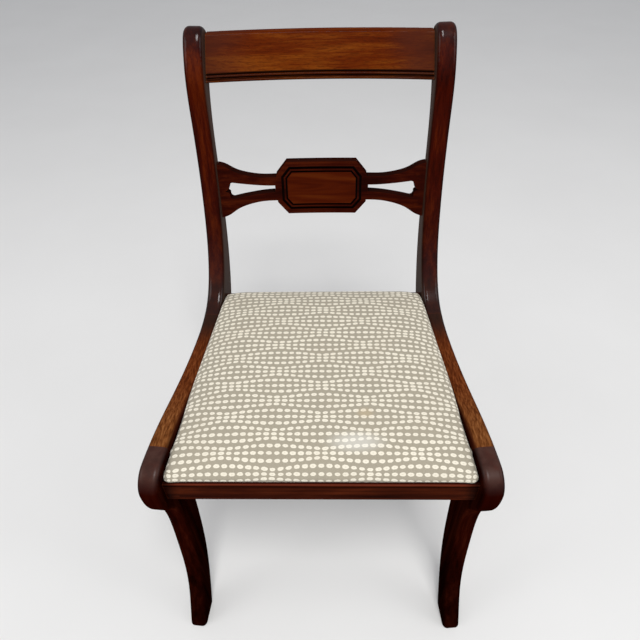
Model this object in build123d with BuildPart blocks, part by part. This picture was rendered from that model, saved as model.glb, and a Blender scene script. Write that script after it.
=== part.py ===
from build123d import *
import math
import os

# A dining side chair with sabre legs, a scrolled back and a lift-out seat. Sizes are in millimetres.
# X runs to the right seen from the front, Y to the back and Z up, from the middle of the floor under it.

# Overall
overall_height = 838
front_width = 482.4
splay = 5
frame_thickness = 29.4
edge_round = 8
edge_ease = 2
foot_ease = 1.5

# Seat opening
ledge_height = 404
seat_depth = 372
seat_side_gap = 1.2
lip_gap = 0.7

# Front leg and knee, run back from the toe line
front_foot_depth = 44
front_leg_shin_run = 34
front_leg_shin_height = 74
front_leg_hollow_run = 58.5
front_leg_hollow_height = 215
front_leg_thigh_run = 53.5
front_leg_thigh_drop = 66
front_leg_calf_run = 90
front_leg_calf_height = 128
front_leg_back_run = 108
front_leg_back_height = 255
front_leg_top_run = 111
front_leg_heel_rise = 102
knee_front_run = 28
knee_radius = 34
knee_rise = 44

# Side rail, run back from the toe line or forward from the rear lip
rail_shoulder_run = 200
rail_shoulder_rise = 25.5
rail_dip_back = 118
rail_dip_rise = 13
rail_underside_drop = 36
front_bracket_radius = 50
rear_bracket_radius = 48
leg_joint_top_run = 86
leg_joint_bottom_run = 113
post_joint_top_back = 50
post_joint_bottom_back = 42

# Back post, run back from the rear lip
bend_run = -22
bend_rise = 30
sweep_run = 14
sweep_rise = 74
post_low_run = 43
post_low_rise = 156
post_high_run = 65
post_high_drop = 126
neck_run = 71
neck_drop = 68
scroll_run = 85
scroll_drop = 26
apex_run = 111
scroll_end_run = 132
scroll_end_drop = 18
neck_back_run = 101
neck_back_drop = 72
post_back_high_run = 81
post_back_high_drop = 188
post_back_low_run = 70
post_back_low_rise = 126
waist_back_run = 40
waist_back_rise = 16

# Rear leg, run back from the rear lip
rear_leg_top_depth = 44
rear_leg_top_run = 15
rear_leg_top_drop = 54
rear_leg_calf_run = 29
rear_leg_calf_height = 250
rear_leg_shin_run = 63
rear_leg_shin_height = 130
rear_leg_depth = 41
heel_run = 127
rear_foot_depth = 39

# Front rail
front_rail_setback = 42
front_rail_thickness = 24
front_rail_height = 38
front_lip_height = 20
front_lip = 5
front_rail_bead = 4.5
rail_groove = 1.6
rail_bead_round = 1.4

# Rear rail
rear_ledge = 18
rear_lip = 8
rear_rail_height = 41
rear_lip_height = 17

# Crest rail
back_bow = 10
crest_top_drop = 11
crest_height = 58
crest_thickness = 16
crest_tilt = 28
crest_setback = 9
crest_top_round = 4
reed_width = 4.8
reed_groove = 1.5
reed_count = 2

# Cross rail
cross_rail_height = 599.5
cross_rail_thickness = 13
cross_rail_setback = 11
cross_rail_lean = 7
tablet_half_width = 74.5
tablet_half_height = 45
tablet_cut_width = 17.5
tablet_cut_height = 21.5
tablet_border = 8
tablet_groove = 4
tablet_bead = 3
tablet_inner_groove = 2.6
tablet_groove_depth = 3
arm_half_height = 20.5
arm_flat_run = 25
arm_flat_rise = 0.5
arm_rise_run = 45
arm_rise = 4
arm_flare_run = 68.5
arm_flare_rise = 12.5
arm_end_half_height = 46
arm_end_slope = 0.15
slot_start = 3
slot_narrow_half = 6
slot_middle_half = 8.7
slot_wide_back = 22
slot_wide_half = 14.5
slot_flare_slope = 0.2
slot_bulge_run = 5
slot_bulge_half = 11.3
slot_shoulder_run = 5.4
slot_shoulder_half = 6.1
slot_notch_run = 7.6
slot_notch_half = 3.2
slot_tip_run = 13.5

# Corner blocks and their screws
block_leg = 60
block_height = 18
screw_offset = 42
screw_diameter = 4.2
screw_length = 28
screw_seat = 10
screw_head_diameter = 8.4
screw_head_height = 3
screw_slot = 1.1
screw_clearance = 0.4

# Dowels
dowel_diameter = 8
dowel_reach = 17
slim_dowel_diameter = 6
slim_dowel_reach = 14
dowel_clearance = 0.3
dowel_end_clearance = 0.6
dowel_spacing = 11
crest_dowel_spacing = 32
cross_dowel_spacing = 52
leg_joint_dowel_spacing = 58
post_joint_dowel_spacing = 30
leg_joint_dowel_drop = 9
post_joint_dowel_drop = 16

# Lift-out seat
seat_front_corner = 9
seat_rear_corner = 12
seat_draw = 0.8
seat_wall_height = 25
seat_crown = 25
crown_reach = 104
crown_bands = 7
crown_corner_gain = 0.25
cover_thickness = 1.2
hem_width = 26
soft_clearance = 0.3
seat_rail_width = 48
seat_rail_thickness = 17
seat_dowel_diameter = 6
seat_dowel_reach = 20
seat_dowel_spacing = 24
webbing_width = 50
webbing_thickness = 1.2
webbing_pitch = 84
webbing_margin = 12
hessian_thickness = 0.8
dust_cover_thickness = 0.6
dust_cover_margin = 10
tack_head_diameter = 7
tack_head_thickness = 0.8
tack_pin_diameter = 1.6
tack_length = 9
tack_clearance = 0.2
tack_pitch = 62

# Places that follow from the sizes above
turn = math.radians(splay)
lip_distance = front_rail_setback + front_lip + lip_gap + seat_depth + lip_gap
lip_run = lip_distance / math.cos(turn)
crest_rise_y = crest_height * math.tan(math.radians(crest_tilt))
crest_depth = crest_thickness / math.cos(math.radians(crest_tilt))
crest_corner_loss = crest_top_round * (1 / math.tan(math.radians((90 - crest_tilt) / 2)) - 1)
crest_face_distance = (lip_run + neck_run + crest_setback) * math.cos(turn) + back_bow
crest_back_distance = crest_face_distance + crest_depth + crest_rise_y - crest_corner_loss
toe_reach = (frame_thickness - edge_round) * math.sin(turn)
overall_depth = toe_reach + crest_back_distance
toe_y = toe_reach - overall_depth / 2
front_face_y = toe_y + front_rail_setback
front_back_y = front_face_y + front_rail_thickness
seat_front_y = front_face_y + front_lip + lip_gap
seat_rear_y = seat_front_y + seat_depth
rear_lip_y = seat_rear_y + lip_gap
rear_front_y = rear_lip_y - rear_ledge
rear_back_y = rear_lip_y + rear_lip
front_bottom = ledge_height + front_lip_height - front_rail_height
rear_bottom = ledge_height + rear_lip_height - rear_rail_height
rail_underside = ledge_height - rail_underside_drop
frame_bottom = ledge_height + cover_thickness
frame_top = frame_bottom + seat_rail_thickness


def outer_half_width(y):
    """Half the width across the outer faces of the side frames at a depth."""
    return front_width / 2 - (y - toe_y) * math.tan(turn)


def inner_half_width(y):
    """Half the width between the inner faces of the side frames at a depth."""
    return outer_half_width(y) - frame_thickness / math.cos(turn)


def outward(side):
    """Direction out of a side frame, side 1 on the right and -1 on the left."""
    return Vector(side * math.cos(turn), math.sin(turn), 0)


def inner_plane(side):
    """Plane of a side frame's inner face, facing outwards."""
    along = Vector(-side * math.sin(turn), math.cos(turn), 0)
    return Plane(origin=(side * inner_half_width(toe_y), toe_y, 0), x_dir=along, z_dir=outward(side))


def inner_point(y, z, side):
    """Point on a side frame's inner face."""
    return Vector(side * inner_half_width(y), y, z)


def post_run_at(height):
    """Run of the post's front face on the stretch between its low and high points."""
    low = ledge_height + post_low_rise
    high = overall_height - post_high_drop
    return lip_run + post_low_run + (post_high_run - post_low_run) * (height - low) / (high - low)


def pegs(seats, diameter, reach):
    """Round pegs centred on joint faces, each lying along its seat's axis."""
    with BuildPart() as group:
        for seat in seats:
            with Locations(seat):
                Cylinder(radius=diameter / 2, height=2 * reach)
    return group.part


def dowel_holes(seats, diameter, reach):
    """Holes that take a group of dowels."""
    return pegs(seats, diameter + dowel_clearance, reach + dowel_end_clearance)


def save(piece, name):
    """Label a finished piece and write it."""
    piece.label = name
    export_step(piece, f"parts/{name}.step")
    print(f"{name}: {len(piece.solids())} solids, {piece.volume / 1000:.1f} cm3")


def save_pair(right_piece, name):
    """Write a right-hand piece and its mirror image on the left."""
    save(right_piece, f"right_{name}")
    with BuildPart() as left_piece:
        mirror(right_piece, about=Plane.YZ)
    save(left_piece.part, f"left_{name}")


os.makedirs("parts", exist_ok=True)

# Dowel seats, each a plane on the joint face with its axis along the dowel
both_sides = (1, -1)
front_dowel_height = (front_bottom + ledge_height) / 2
front_dowel_y = front_face_y + front_rail_thickness / 2
front_dowel_seats = [
    Plane(origin=inner_point(front_dowel_y + step * dowel_spacing / 2, front_dowel_height, side),
          z_dir=outward(side))
    for side in both_sides
    for step in (-1, 1)
]
rear_dowel_height = (rear_bottom + ledge_height) / 2
rear_dowel_y = (rear_front_y + rear_back_y) / 2
rear_dowel_seats = [
    Plane(origin=inner_point(rear_dowel_y + step * dowel_spacing / 2, rear_dowel_height, side),
          z_dir=outward(side))
    for side in both_sides
    for step in (-1, 1)
]

# The crest rail's section, leaning back with the scroll of the posts
crest_bottom = overall_height - crest_top_drop - crest_height
crest_face_y = toe_y + crest_face_distance
crest_face_end = crest_face_y - back_bow
crest_middle_height = crest_bottom + crest_height / 2
crest_middle_end = crest_face_end + crest_rise_y / 2 + crest_depth / 2
crest_up = Vector(0, math.sin(math.radians(crest_tilt)), math.cos(math.radians(crest_tilt)))
crest_dowel_seats = [
    Plane(origin=inner_point(crest_middle_end + step * crest_up.Y * crest_dowel_spacing / 2,
                             crest_middle_height + step * crest_up.Z * crest_dowel_spacing / 2, side),
          z_dir=outward(side))
    for side in both_sides
    for step in (-1, 1)
]

# The cross rail's section, leaning with the posts
cross_face_end = toe_y + (post_run_at(cross_rail_height) + cross_rail_setback) * math.cos(turn)
cross_lean = math.tan(math.radians(cross_rail_lean))
cross_middle_end = cross_face_end + cross_rail_thickness / 2
cross_dowel_seats = [
    Plane(origin=inner_point(cross_middle_end + step * cross_lean * cross_dowel_spacing / 2,
                             cross_rail_height + step * cross_dowel_spacing / 2, side),
          z_dir=outward(side))
    for side in both_sides
    for step in (-1, 1)
]

# The right side frame, drawn once from toe to scroll and then cut into leg, rail and post
outer_face = Plane(origin=(front_width / 2, toe_y, 0),
                   x_dir=(-math.sin(turn), math.cos(turn), 0), z_dir=outward(1))
mid_face = outer_face.offset(-frame_thickness / 2)
knee_top = (knee_front_run + knee_radius, ledge_height + knee_rise)
knee_start = (knee_front_run, ledge_height + knee_rise - knee_radius)
front_leg_top = (front_leg_top_run, rail_underside - front_bracket_radius)
heel = (lip_run + heel_run, 0)
apex = (lip_run + apex_run, overall_height)
scroll_end = (lip_run + scroll_end_run, overall_height - scroll_end_drop)
rear_leg_front_run = lip_run + rear_leg_top_run - rear_leg_top_depth
rear_leg_front = (rear_leg_front_run, rail_underside - rear_bracket_radius)
underside_front = (front_leg_top_run + front_bracket_radius, rail_underside)
underside_rear = (rear_leg_front_run - rear_bracket_radius, rail_underside)

with BuildLine() as show_line:
    Spline(
        (0, 0),
        (front_leg_shin_run, front_leg_shin_height),
        (front_leg_hollow_run, front_leg_hollow_height),
        (front_leg_thigh_run, ledge_height - front_leg_thigh_drop),
        knee_start,
        tangents=[(front_leg_shin_run, front_leg_shin_height), (0, 1)],
    )
    TangentArc(knee_start, knee_top, tangent=(0, 1))
    Spline(
        knee_top,
        (rail_shoulder_run, ledge_height + rail_shoulder_rise),
        (lip_run - rail_dip_back, ledge_height + rail_dip_rise),
        (lip_run + bend_run, ledge_height + bend_rise),
        (lip_run + sweep_run, ledge_height + sweep_rise),
        (lip_run + post_low_run, ledge_height + post_low_rise),
        (lip_run + post_high_run, overall_height - post_high_drop),
        (lip_run + neck_run, overall_height - neck_drop),
        (lip_run + scroll_run, overall_height - scroll_drop),
        apex,
        tangents=[(1, 0), (1, 0)],
    )
    TangentArc(apex, scroll_end, tangent=(1, 0))

with BuildLine() as hidden_line:
    Spline(
        scroll_end,
        (lip_run + neck_back_run, overall_height - neck_back_drop),
        (lip_run + post_back_high_run, overall_height - post_back_high_drop),
        (lip_run + post_back_low_run, ledge_height + post_back_low_rise),
        (lip_run + waist_back_run, ledge_height + waist_back_rise),
        (lip_run + rear_leg_top_run, ledge_height - rear_leg_top_drop),
        (lip_run + rear_leg_calf_run, rear_leg_calf_height),
        (lip_run + rear_leg_shin_run, rear_leg_shin_height),
        heel,
    )
    Line(heel, (heel[0] - rear_foot_depth, 0))
    Spline(
        (heel[0] - rear_foot_depth, 0),
        (lip_run + rear_leg_shin_run - rear_leg_depth, rear_leg_shin_height),
        (lip_run + rear_leg_calf_run - rear_leg_depth, rear_leg_calf_height),
        rear_leg_front,
        tangents=[(heel_run - rear_leg_shin_run, -rear_leg_shin_height), (0, 1)],
        tangent_scalars=[-1, 1],
    )
    TangentArc(rear_leg_front, underside_rear, tangent=(0, 1))
    Line(underside_rear, underside_front)
    TangentArc(front_leg_top, underside_front, tangent=(0, 1))
    Spline(
        (front_foot_depth, 0),
        (front_leg_calf_run, front_leg_calf_height),
        (front_leg_back_run, front_leg_back_height),
        front_leg_top,
        tangents=[(front_leg_calf_run - front_foot_depth, front_leg_heel_rise), (0, 1)],
    )
    Line((front_foot_depth, 0), (0, 0))


def rims(piece, line, inset):
    """Edges of a side frame that follow an outline at an inset from its outer face, without the feet."""
    picked = ShapeList()
    for edge in piece.edges():
        spot = outer_face.to_local_coords(edge @ 0.5)
        on_face = abs(spot.Z + inset) < 0.01
        if on_face and spot.Y > 0.01 and line.distance_to(Vector(spot.X, spot.Y, 0)) < 0.01:
            picked.append(edge)
    return picked


with BuildPart() as side_frame:
    with BuildSketch(outer_face):
        with BuildLine():
            add(show_line.line)
            add(hidden_line.line)
        make_face()
    extrude(amount=-frame_thickness)
    for line, radius in ((show_line.line, edge_round), (hidden_line.line, edge_ease)):
        for inset in (0, frame_thickness):
            fillet(rims(side_frame.part, line, inset), radius)

# The joints of the side frame, as straight saw cuts through the outline
leg_joint_top = (leg_joint_top_run, ledge_height + knee_rise + edge_round)
leg_joint_bottom = (leg_joint_bottom_run, front_leg_top[1])
post_joint_top = (lip_run - post_joint_top_back, ledge_height + knee_rise + edge_round)
post_joint_bottom = (lip_run - post_joint_bottom_back, rail_underside - rear_bracket_radius)


def across(start, end):
    """Unit direction square to a joint line, pointing to the back."""
    line = Vector(end[0] - start[0], end[1] - start[1]).normalized()
    return Vector(-line.Y, line.X)


def joint_seats(start, end, middle_height, spacing):
    """Two dowel seats on a joint line, above and below a middle height."""
    square = across(start, end)
    axis = outer_face.x_dir * square.X + Vector(0, 0, square.Y)
    seats = []
    for step in (-1, 1):
        height = middle_height + step * spacing / 2
        run = start[0] + (end[0] - start[0]) * (height - start[1]) / (end[1] - start[1])
        seats.append(Plane(origin=mid_face.from_local_coords(Vector(run, height, 0)), z_dir=axis))
    return seats


leg_dowel_seats = joint_seats(leg_joint_top, leg_joint_bottom, ledge_height - leg_joint_dowel_drop,
                              leg_joint_dowel_spacing)
post_dowel_seats = joint_seats(post_joint_top, post_joint_bottom, ledge_height - post_joint_dowel_drop,
                               post_joint_dowel_spacing)
leg_dowel_holes = dowel_holes(leg_dowel_seats, dowel_diameter, dowel_reach)
post_dowel_holes = dowel_holes(post_dowel_seats, dowel_diameter, dowel_reach)
front_dowel_holes = dowel_holes(front_dowel_seats, dowel_diameter, dowel_reach)
rear_dowel_holes = dowel_holes(rear_dowel_seats, dowel_diameter, dowel_reach)
crest_dowel_holes = dowel_holes(crest_dowel_seats, slim_dowel_diameter, slim_dowel_reach)
cross_dowel_holes = dowel_holes(cross_dowel_seats, slim_dowel_diameter, slim_dowel_reach)

# Screws through the corner blocks: one into the front or rear rail, one into the side frame
block_middle = ledge_height - block_height / 2
screw_seats = []
for side in both_sides:
    for corner_y, way in ((front_back_y, 1), (rear_front_y, -1)):
        rail_x = side * (inner_half_width(corner_y) - screw_offset)
        screw_seats.append(Plane(origin=(rail_x, corner_y, block_middle), z_dir=(0, -way, 0)))
        side_y = corner_y + way * screw_offset
        screw_seats.append(Plane(origin=inner_point(side_y, block_middle, side), z_dir=outward(side)))


def screws(shank, head, head_room):
    """Round-headed wood screws, each seated in its block and driven along its seat's axis."""
    bite = screw_length - screw_seat
    with BuildPart() as group:
        for seat in screw_seats:
            with BuildSketch(seat.offset(-screw_seat)):
                Circle(shank / 2)
            extrude(amount=screw_seat + bite)
            with BuildSketch(seat.offset(-screw_seat)):
                Circle(head / 2)
            extrude(amount=-head_room)
    return group.part


screw_holes = screws(screw_diameter + screw_clearance, screw_head_diameter + screw_clearance, block_leg)

with BuildPart() as screw_group:
    add(screws(screw_diameter, screw_head_diameter, screw_head_height))
    for seat in screw_seats:
        with BuildSketch(seat.offset(-screw_seat - screw_head_height)):
            Rectangle(screw_slot, screw_head_diameter)
        extrude(amount=screw_slot, mode=Mode.SUBTRACT)
save(screw_group.part, "corner_block_screws")

# Front leg, side rail and back post of the right side
with BuildPart() as front_leg:
    add(side_frame.part)
    with BuildSketch(outer_face):
        with BuildLine():
            Polyline((-frame_thickness, -frame_thickness), (leg_joint_bottom[0], -frame_thickness),
                     leg_joint_bottom, leg_joint_top, (-frame_thickness, leg_joint_top[1]), close=True)
        make_face()
    extrude(amount=-frame_thickness, mode=Mode.INTERSECT)
    add(front_dowel_holes, mode=Mode.SUBTRACT)
    add(leg_dowel_holes, mode=Mode.SUBTRACT)
    add(screw_holes, mode=Mode.SUBTRACT)
    foot_rim = front_leg.faces().sort_by(Axis.Z)[0].edges()
    chamfer(foot_rim, foot_ease)
save_pair(front_leg.part, "front_leg")

with BuildPart() as side_rail:
    add(side_frame.part)
    with BuildSketch(outer_face):
        with BuildLine():
            Polyline(leg_joint_bottom, leg_joint_top, post_joint_top, post_joint_bottom, close=True)
        make_face()
    extrude(amount=-frame_thickness, mode=Mode.INTERSECT)
    add(leg_dowel_holes, mode=Mode.SUBTRACT)
    add(post_dowel_holes, mode=Mode.SUBTRACT)
    add(screw_holes, mode=Mode.SUBTRACT)
save_pair(side_rail.part, "side_rail")

with BuildPart() as back_post:
    add(side_frame.part)
    with BuildSketch(outer_face):
        with BuildLine():
            Polyline((-frame_thickness, -frame_thickness), (leg_joint_bottom[0], -frame_thickness),
                     leg_joint_bottom, post_joint_bottom, post_joint_top,
                     (-frame_thickness, post_joint_top[1]), close=True)
        make_face()
    extrude(amount=-frame_thickness, mode=Mode.SUBTRACT)
    add(post_dowel_holes, mode=Mode.SUBTRACT)
    add(rear_dowel_holes, mode=Mode.SUBTRACT)
    add(crest_dowel_holes, mode=Mode.SUBTRACT)
    add(cross_dowel_holes, mode=Mode.SUBTRACT)
    foot_rim = back_post.faces().sort_by(Axis.Z)[0].edges()
    chamfer(foot_rim, foot_ease)
save_pair(back_post.part, "back_post")

# Front rail, rabbeted behind its lip for the seat, with a bead at its top and bottom edge
bead_edges = []
with BuildPart() as front_rail:
    with BuildSketch(Plane.YZ):
        with BuildLine():
            Polyline((front_face_y, front_bottom), (front_back_y, front_bottom),
                     (front_back_y, ledge_height), (front_face_y + front_lip, ledge_height),
                     (front_face_y + front_lip, ledge_height + front_lip_height),
                     (front_face_y, ledge_height + front_lip_height), close=True)
        make_face()
        with Locations((front_face_y, front_bottom + front_rail_bead),
                       (front_face_y, ledge_height + front_lip_height - front_rail_bead)):
            Rectangle(2 * rail_groove, rail_groove, mode=Mode.SUBTRACT)
    extrude(amount=front_width / 2, both=True)
    for edge in front_rail.edges().filter_by(Axis.X).group_by(Axis.Y)[0]:
        from_edge = min(edge.center().Z - front_bottom, ledge_height + front_lip_height - edge.center().Z)
        if from_edge < front_rail_bead:
            bead_edges.append(edge)
    fillet(bead_edges, rail_bead_round)
    split(bisect_by=inner_plane(1), keep=Keep.BOTTOM)
    split(bisect_by=inner_plane(-1), keep=Keep.BOTTOM)
    add(front_dowel_holes, mode=Mode.SUBTRACT)
    add(screw_holes, mode=Mode.SUBTRACT)
save(front_rail.part, "front_rail")

with BuildPart() as rear_rail:
    with BuildSketch(Plane.YZ):
        with BuildLine():
            Polyline((rear_front_y, rear_bottom), (rear_back_y, rear_bottom),
                     (rear_back_y, ledge_height + rear_lip_height),
                     (rear_lip_y, ledge_height + rear_lip_height),
                     (rear_lip_y, ledge_height), (rear_front_y, ledge_height), close=True)
        make_face()
    extrude(amount=front_width / 2, both=True)
    back_edges = rear_rail.edges().filter_by(Axis.X).group_by(Axis.Y)[-1]
    fillet(back_edges, edge_ease)
    split(bisect_by=inner_plane(1), keep=Keep.BOTTOM)
    split(bisect_by=inner_plane(-1), keep=Keep.BOTTOM)
    add(rear_dowel_holes, mode=Mode.SUBTRACT)
    add(screw_holes, mode=Mode.SUBTRACT)
save(rear_rail.part, "rear_rail")


def bow_axis(face_y, end_y):
    """Upright axis of the shallow curve that a back rail follows between the posts."""
    half = inner_half_width(end_y)
    radius = (half ** 2 + back_bow ** 2) / (2 * back_bow)
    return Axis((0, face_y - radius, 0), (0, 0, 1))


# Wide enough to pass both posts before the ends are trimmed to their inner faces
bow_sweep = 10

# Crest rail: a leaning board, bowed in plan, with two reeds along its lower edge
crest_axis = bow_axis(crest_face_y, crest_face_end)
reed_pitch = reed_width + reed_groove


def crest_face_spot(up, behind):
    """Place in the crest rail's section, so far up its leaning face and so far behind it."""
    back = crest_face_y + up * crest_up.Y + behind * crest_up.Z
    height = crest_bottom + up * crest_up.Z - behind * crest_up.Y
    return (back, height)


with BuildPart() as crest_rail:
    with BuildSketch(Plane.YZ):
        with BuildLine():
            Polyline((crest_face_y, crest_bottom), (crest_face_y + crest_depth, crest_bottom),
                     (crest_face_y + crest_depth + crest_rise_y, crest_bottom + crest_height),
                     (crest_face_y + crest_rise_y, crest_bottom + crest_height), close=True)
        make_face()
        fillet(vertices().group_by(Axis.Y)[-1], crest_top_round)
        with Locations(crest_face_spot(0, 0)):
            Rectangle(reed_width, 2 * reed_count * reed_pitch, rotation=-crest_tilt, mode=Mode.SUBTRACT)
        for step in range(reed_count):
            with Locations(crest_face_spot(step * reed_pitch + reed_width / 2, reed_width / 2)):
                Circle(reed_width / 2)
        split(bisect_by=Plane(origin=(0, crest_bottom, 0), z_dir=(0, 1, 0)), keep=Keep.TOP)
    revolve(axis=crest_axis, revolution_arc=bow_sweep)
    mirror(about=Plane.YZ)
    split(bisect_by=inner_plane(1), keep=Keep.BOTTOM)
    split(bisect_by=inner_plane(-1), keep=Keep.BOTTOM)
    add(crest_dowel_holes, mode=Mode.SUBTRACT)
save(crest_rail.part, "crest_rail")

# Cross rail: a bowed board pierced by two keyhole slots, with an octagonal tablet in the middle
cross_face_y = cross_face_end + back_bow
cross_axis = bow_axis(cross_face_y, cross_face_end)
cross_half = inner_half_width(cross_face_end)
cross_reach = arm_end_half_height + 2 * edge_round


def cross_board(thickness):
    """Bowed, leaning board of a given thickness behind the cross rail's face."""
    low_y = cross_face_y - cross_lean * cross_reach
    high_y = cross_face_y + cross_lean * cross_reach
    low_z = cross_rail_height - cross_reach
    high_z = cross_rail_height + cross_reach
    with BuildPart() as board:
        with BuildSketch(Plane.YZ):
            with BuildLine():
                Polyline((low_y, low_z), (low_y + thickness, low_z), (high_y + thickness, high_z),
                         (high_y, high_z), close=True)
            make_face()
        revolve(axis=cross_axis, revolution_arc=bow_sweep)
        mirror(about=Plane.YZ)
    return board.part


def octagon(inset):
    """Corner points of the tablet, drawn in by an inset."""
    half_width = tablet_half_width - inset
    half_height = tablet_half_height - inset
    cut_length = math.hypot(tablet_cut_width, tablet_cut_height)
    slope = inset * (cut_length - tablet_cut_width - tablet_cut_height)
    cut_width = tablet_cut_width + slope / tablet_cut_height
    cut_height = tablet_cut_height + slope / tablet_cut_width
    corner = [(half_width, half_height - cut_height), (half_width - cut_width, half_height)]
    right_top = corner
    left_top = [(-x, z) for x, z in reversed(corner)]
    return right_top + left_top + [(-x, -z) for x, z in right_top] + [(-x, -z) for x, z in left_top]


front_view = Plane(origin=(0, cross_face_y, cross_rail_height), x_dir=(1, 0, 0), z_dir=(0, -1, 0))
through = 4 * cross_rail_thickness + back_bow

with BuildPart() as tablet_groove_tool:
    add(cross_board(tablet_groove_depth))
    with BuildSketch(front_view):
        first = tablet_border
        with BuildLine():
            Polyline(*octagon(first), close=True)
        make_face()
        with BuildLine():
            Polyline(*octagon(first + tablet_groove), close=True)
        make_face(mode=Mode.SUBTRACT)
        second = first + tablet_groove + tablet_bead
        with BuildLine():
            Polyline(*octagon(second), close=True)
        make_face()
        with BuildLine():
            Polyline(*octagon(second + tablet_inner_groove), close=True)
        make_face(mode=Mode.SUBTRACT)
    extrude(amount=through, both=True, mode=Mode.INTERSECT)

arm_past = cross_half + frame_thickness
with BuildPart() as cross_rail:
    add(cross_board(cross_rail_thickness))
    with BuildSketch(front_view):
        with BuildLine():
            Polyline(*octagon(0), close=True)
        make_face()
        with BuildLine():
            arm_top = Spline(
                (tablet_half_width - tablet_border, arm_half_height),
                (tablet_half_width + arm_flat_run, arm_half_height + arm_flat_rise),
                (tablet_half_width + arm_rise_run, arm_half_height + arm_rise),
                (tablet_half_width + arm_flare_run, arm_half_height + arm_flare_rise),
                (cross_half, arm_end_half_height),
                tangents=[(1, 0), (1, arm_end_slope)],
            )
            Line(arm_top @ 1, (arm_past, arm_end_half_height))
            Line((arm_past, arm_end_half_height), (arm_past, 0))
            Line((tablet_half_width - tablet_border, 0), arm_top @ 0)
            mirror(about=Plane.XZ)
        make_face()
        with BuildLine():
            slot_left = tablet_half_width + slot_start
            slot_right = cross_half - slot_wide_back
            slot_top = Spline(
                (slot_left, slot_narrow_half),
                ((slot_left + slot_right) / 2, slot_middle_half),
                (slot_right, slot_wide_half),
                tangents=[(1, 0), (1, slot_flare_slope)],
            )
            shoulder = (slot_right + slot_shoulder_run, slot_shoulder_half)
            ThreePointArc(slot_top @ 1, (slot_right + slot_bulge_run, slot_bulge_half), shoulder)
            ThreePointArc(shoulder, (slot_right + slot_notch_run, slot_notch_half),
                          (slot_right + slot_tip_run, 0))
            Line((slot_left, 0), slot_top @ 0)
            mirror(about=Plane.XZ)
        make_face(mode=Mode.SUBTRACT)
        mirror(about=Plane.YZ)
    extrude(amount=through, both=True, mode=Mode.INTERSECT)
    add(tablet_groove_tool.part, mode=Mode.SUBTRACT)
    split(bisect_by=inner_plane(1), keep=Keep.BOTTOM)
    split(bisect_by=inner_plane(-1), keep=Keep.BOTTOM)
    add(cross_dowel_holes, mode=Mode.SUBTRACT)
save(cross_rail.part, "cross_rail")

# Dowels
save(pegs(front_dowel_seats, dowel_diameter, dowel_reach), "front_rail_dowels")
save(pegs(rear_dowel_seats, dowel_diameter, dowel_reach), "rear_rail_dowels")
save(pegs(crest_dowel_seats, slim_dowel_diameter, slim_dowel_reach), "crest_rail_dowels")
save(pegs(cross_dowel_seats, slim_dowel_diameter, slim_dowel_reach), "cross_rail_dowels")
for seats, name in ((leg_dowel_seats, "leg_joint_dowels"), (post_dowel_seats, "post_joint_dowels")):
    with BuildPart() as dowel_pair:
        add(pegs(seats, dowel_diameter, dowel_reach))
        mirror(about=Plane.YZ)
    save(dowel_pair.part, name)

# Corner blocks under the seat
for corner_y, way, place in ((front_back_y, 1, "front"), (rear_front_y, -1, "rear")):
    with BuildPart() as corner_block:
        with BuildSketch(Plane.XY.offset(ledge_height)):
            with BuildLine():
                Polyline((inner_half_width(corner_y), corner_y),
                         (inner_half_width(corner_y + way * block_leg), corner_y + way * block_leg),
                         (inner_half_width(corner_y) - block_leg, corner_y), close=True)
            make_face()
        extrude(amount=-block_height)
        add(screw_holes, mode=Mode.SUBTRACT)
    save_pair(corner_block.part, f"{place}_corner_block")


def seat_corners(inset):
    """Corners of the seat's plan, drawn in by an inset, anticlockwise from the front left."""
    front = seat_front_y + inset
    rear = seat_rear_y - inset
    front_half = inner_half_width(front) - seat_side_gap - inset
    rear_half = inner_half_width(rear) - seat_side_gap - inset
    return [(-front_half, front), (front_half, front), (rear_half, rear), (-rear_half, rear)]


def flat_plan(inset, height):
    """Straight-sided plan of the seat at a height."""
    with BuildSketch(Plane.XY.offset(height)) as plan:
        with BuildLine():
            Polyline(*seat_corners(inset), close=True)
        make_face()
        fillet(plan.vertices().group_by(Axis.Y)[0], seat_front_corner)
        fillet(plan.vertices().group_by(Axis.Y)[-1], seat_rear_corner)
    return plan.sketch


def soft_plan(inset, height):
    """Plan of the stuffed seat at a height, with its sides pulled in between the corners."""
    corners = seat_corners(inset)
    middle_y = (corners[0][1] + corners[2][1]) / 2
    middle_half = (corners[1][0] + corners[2][0]) / 2
    with BuildSketch(Plane.XY.offset(height)) as plan:
        with BuildLine():
            ThreePointArc(corners[0], (0, corners[0][1] + seat_draw), corners[1])
            ThreePointArc(corners[1], (middle_half - seat_draw, middle_y), corners[2])
            ThreePointArc(corners[2], (0, corners[2][1] - seat_draw), corners[3])
            ThreePointArc(corners[3], (-middle_half + seat_draw, middle_y), corners[0])
        make_face()
        fillet(plan.vertices().group_by(Axis.Y)[0], seat_front_corner + inset * crown_corner_gain)
        fillet(plan.vertices().group_by(Axis.Y)[-1], seat_rear_corner + inset * crown_corner_gain)
    return plan.sketch


def cushion(inset, bottom):
    """Upright wall and crowned top of the seat, drawn in by an inset."""
    wall_top = ledge_height + seat_wall_height
    with BuildPart() as body:
        add(soft_plan(inset, bottom))
        extrude(amount=wall_top - bottom)
        for step in range(crown_bands + 1):
            angle = math.pi / 2 * step / crown_bands
            drawn_in = inset + crown_reach * (1 - math.cos(angle))
            add(soft_plan(drawn_in, wall_top + (seat_crown - inset) * math.sin(angle)))
        loft(ruled=True)
    return body.part


void_inset = cover_thickness
wood_inset = cover_thickness + soft_clearance + seat_draw
hem_bottom = ledge_height
lay = frame_top
hessian_bottom = lay + 2 * webbing_thickness
pad_bottom = hessian_bottom + hessian_thickness
dust_top = frame_bottom

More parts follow.
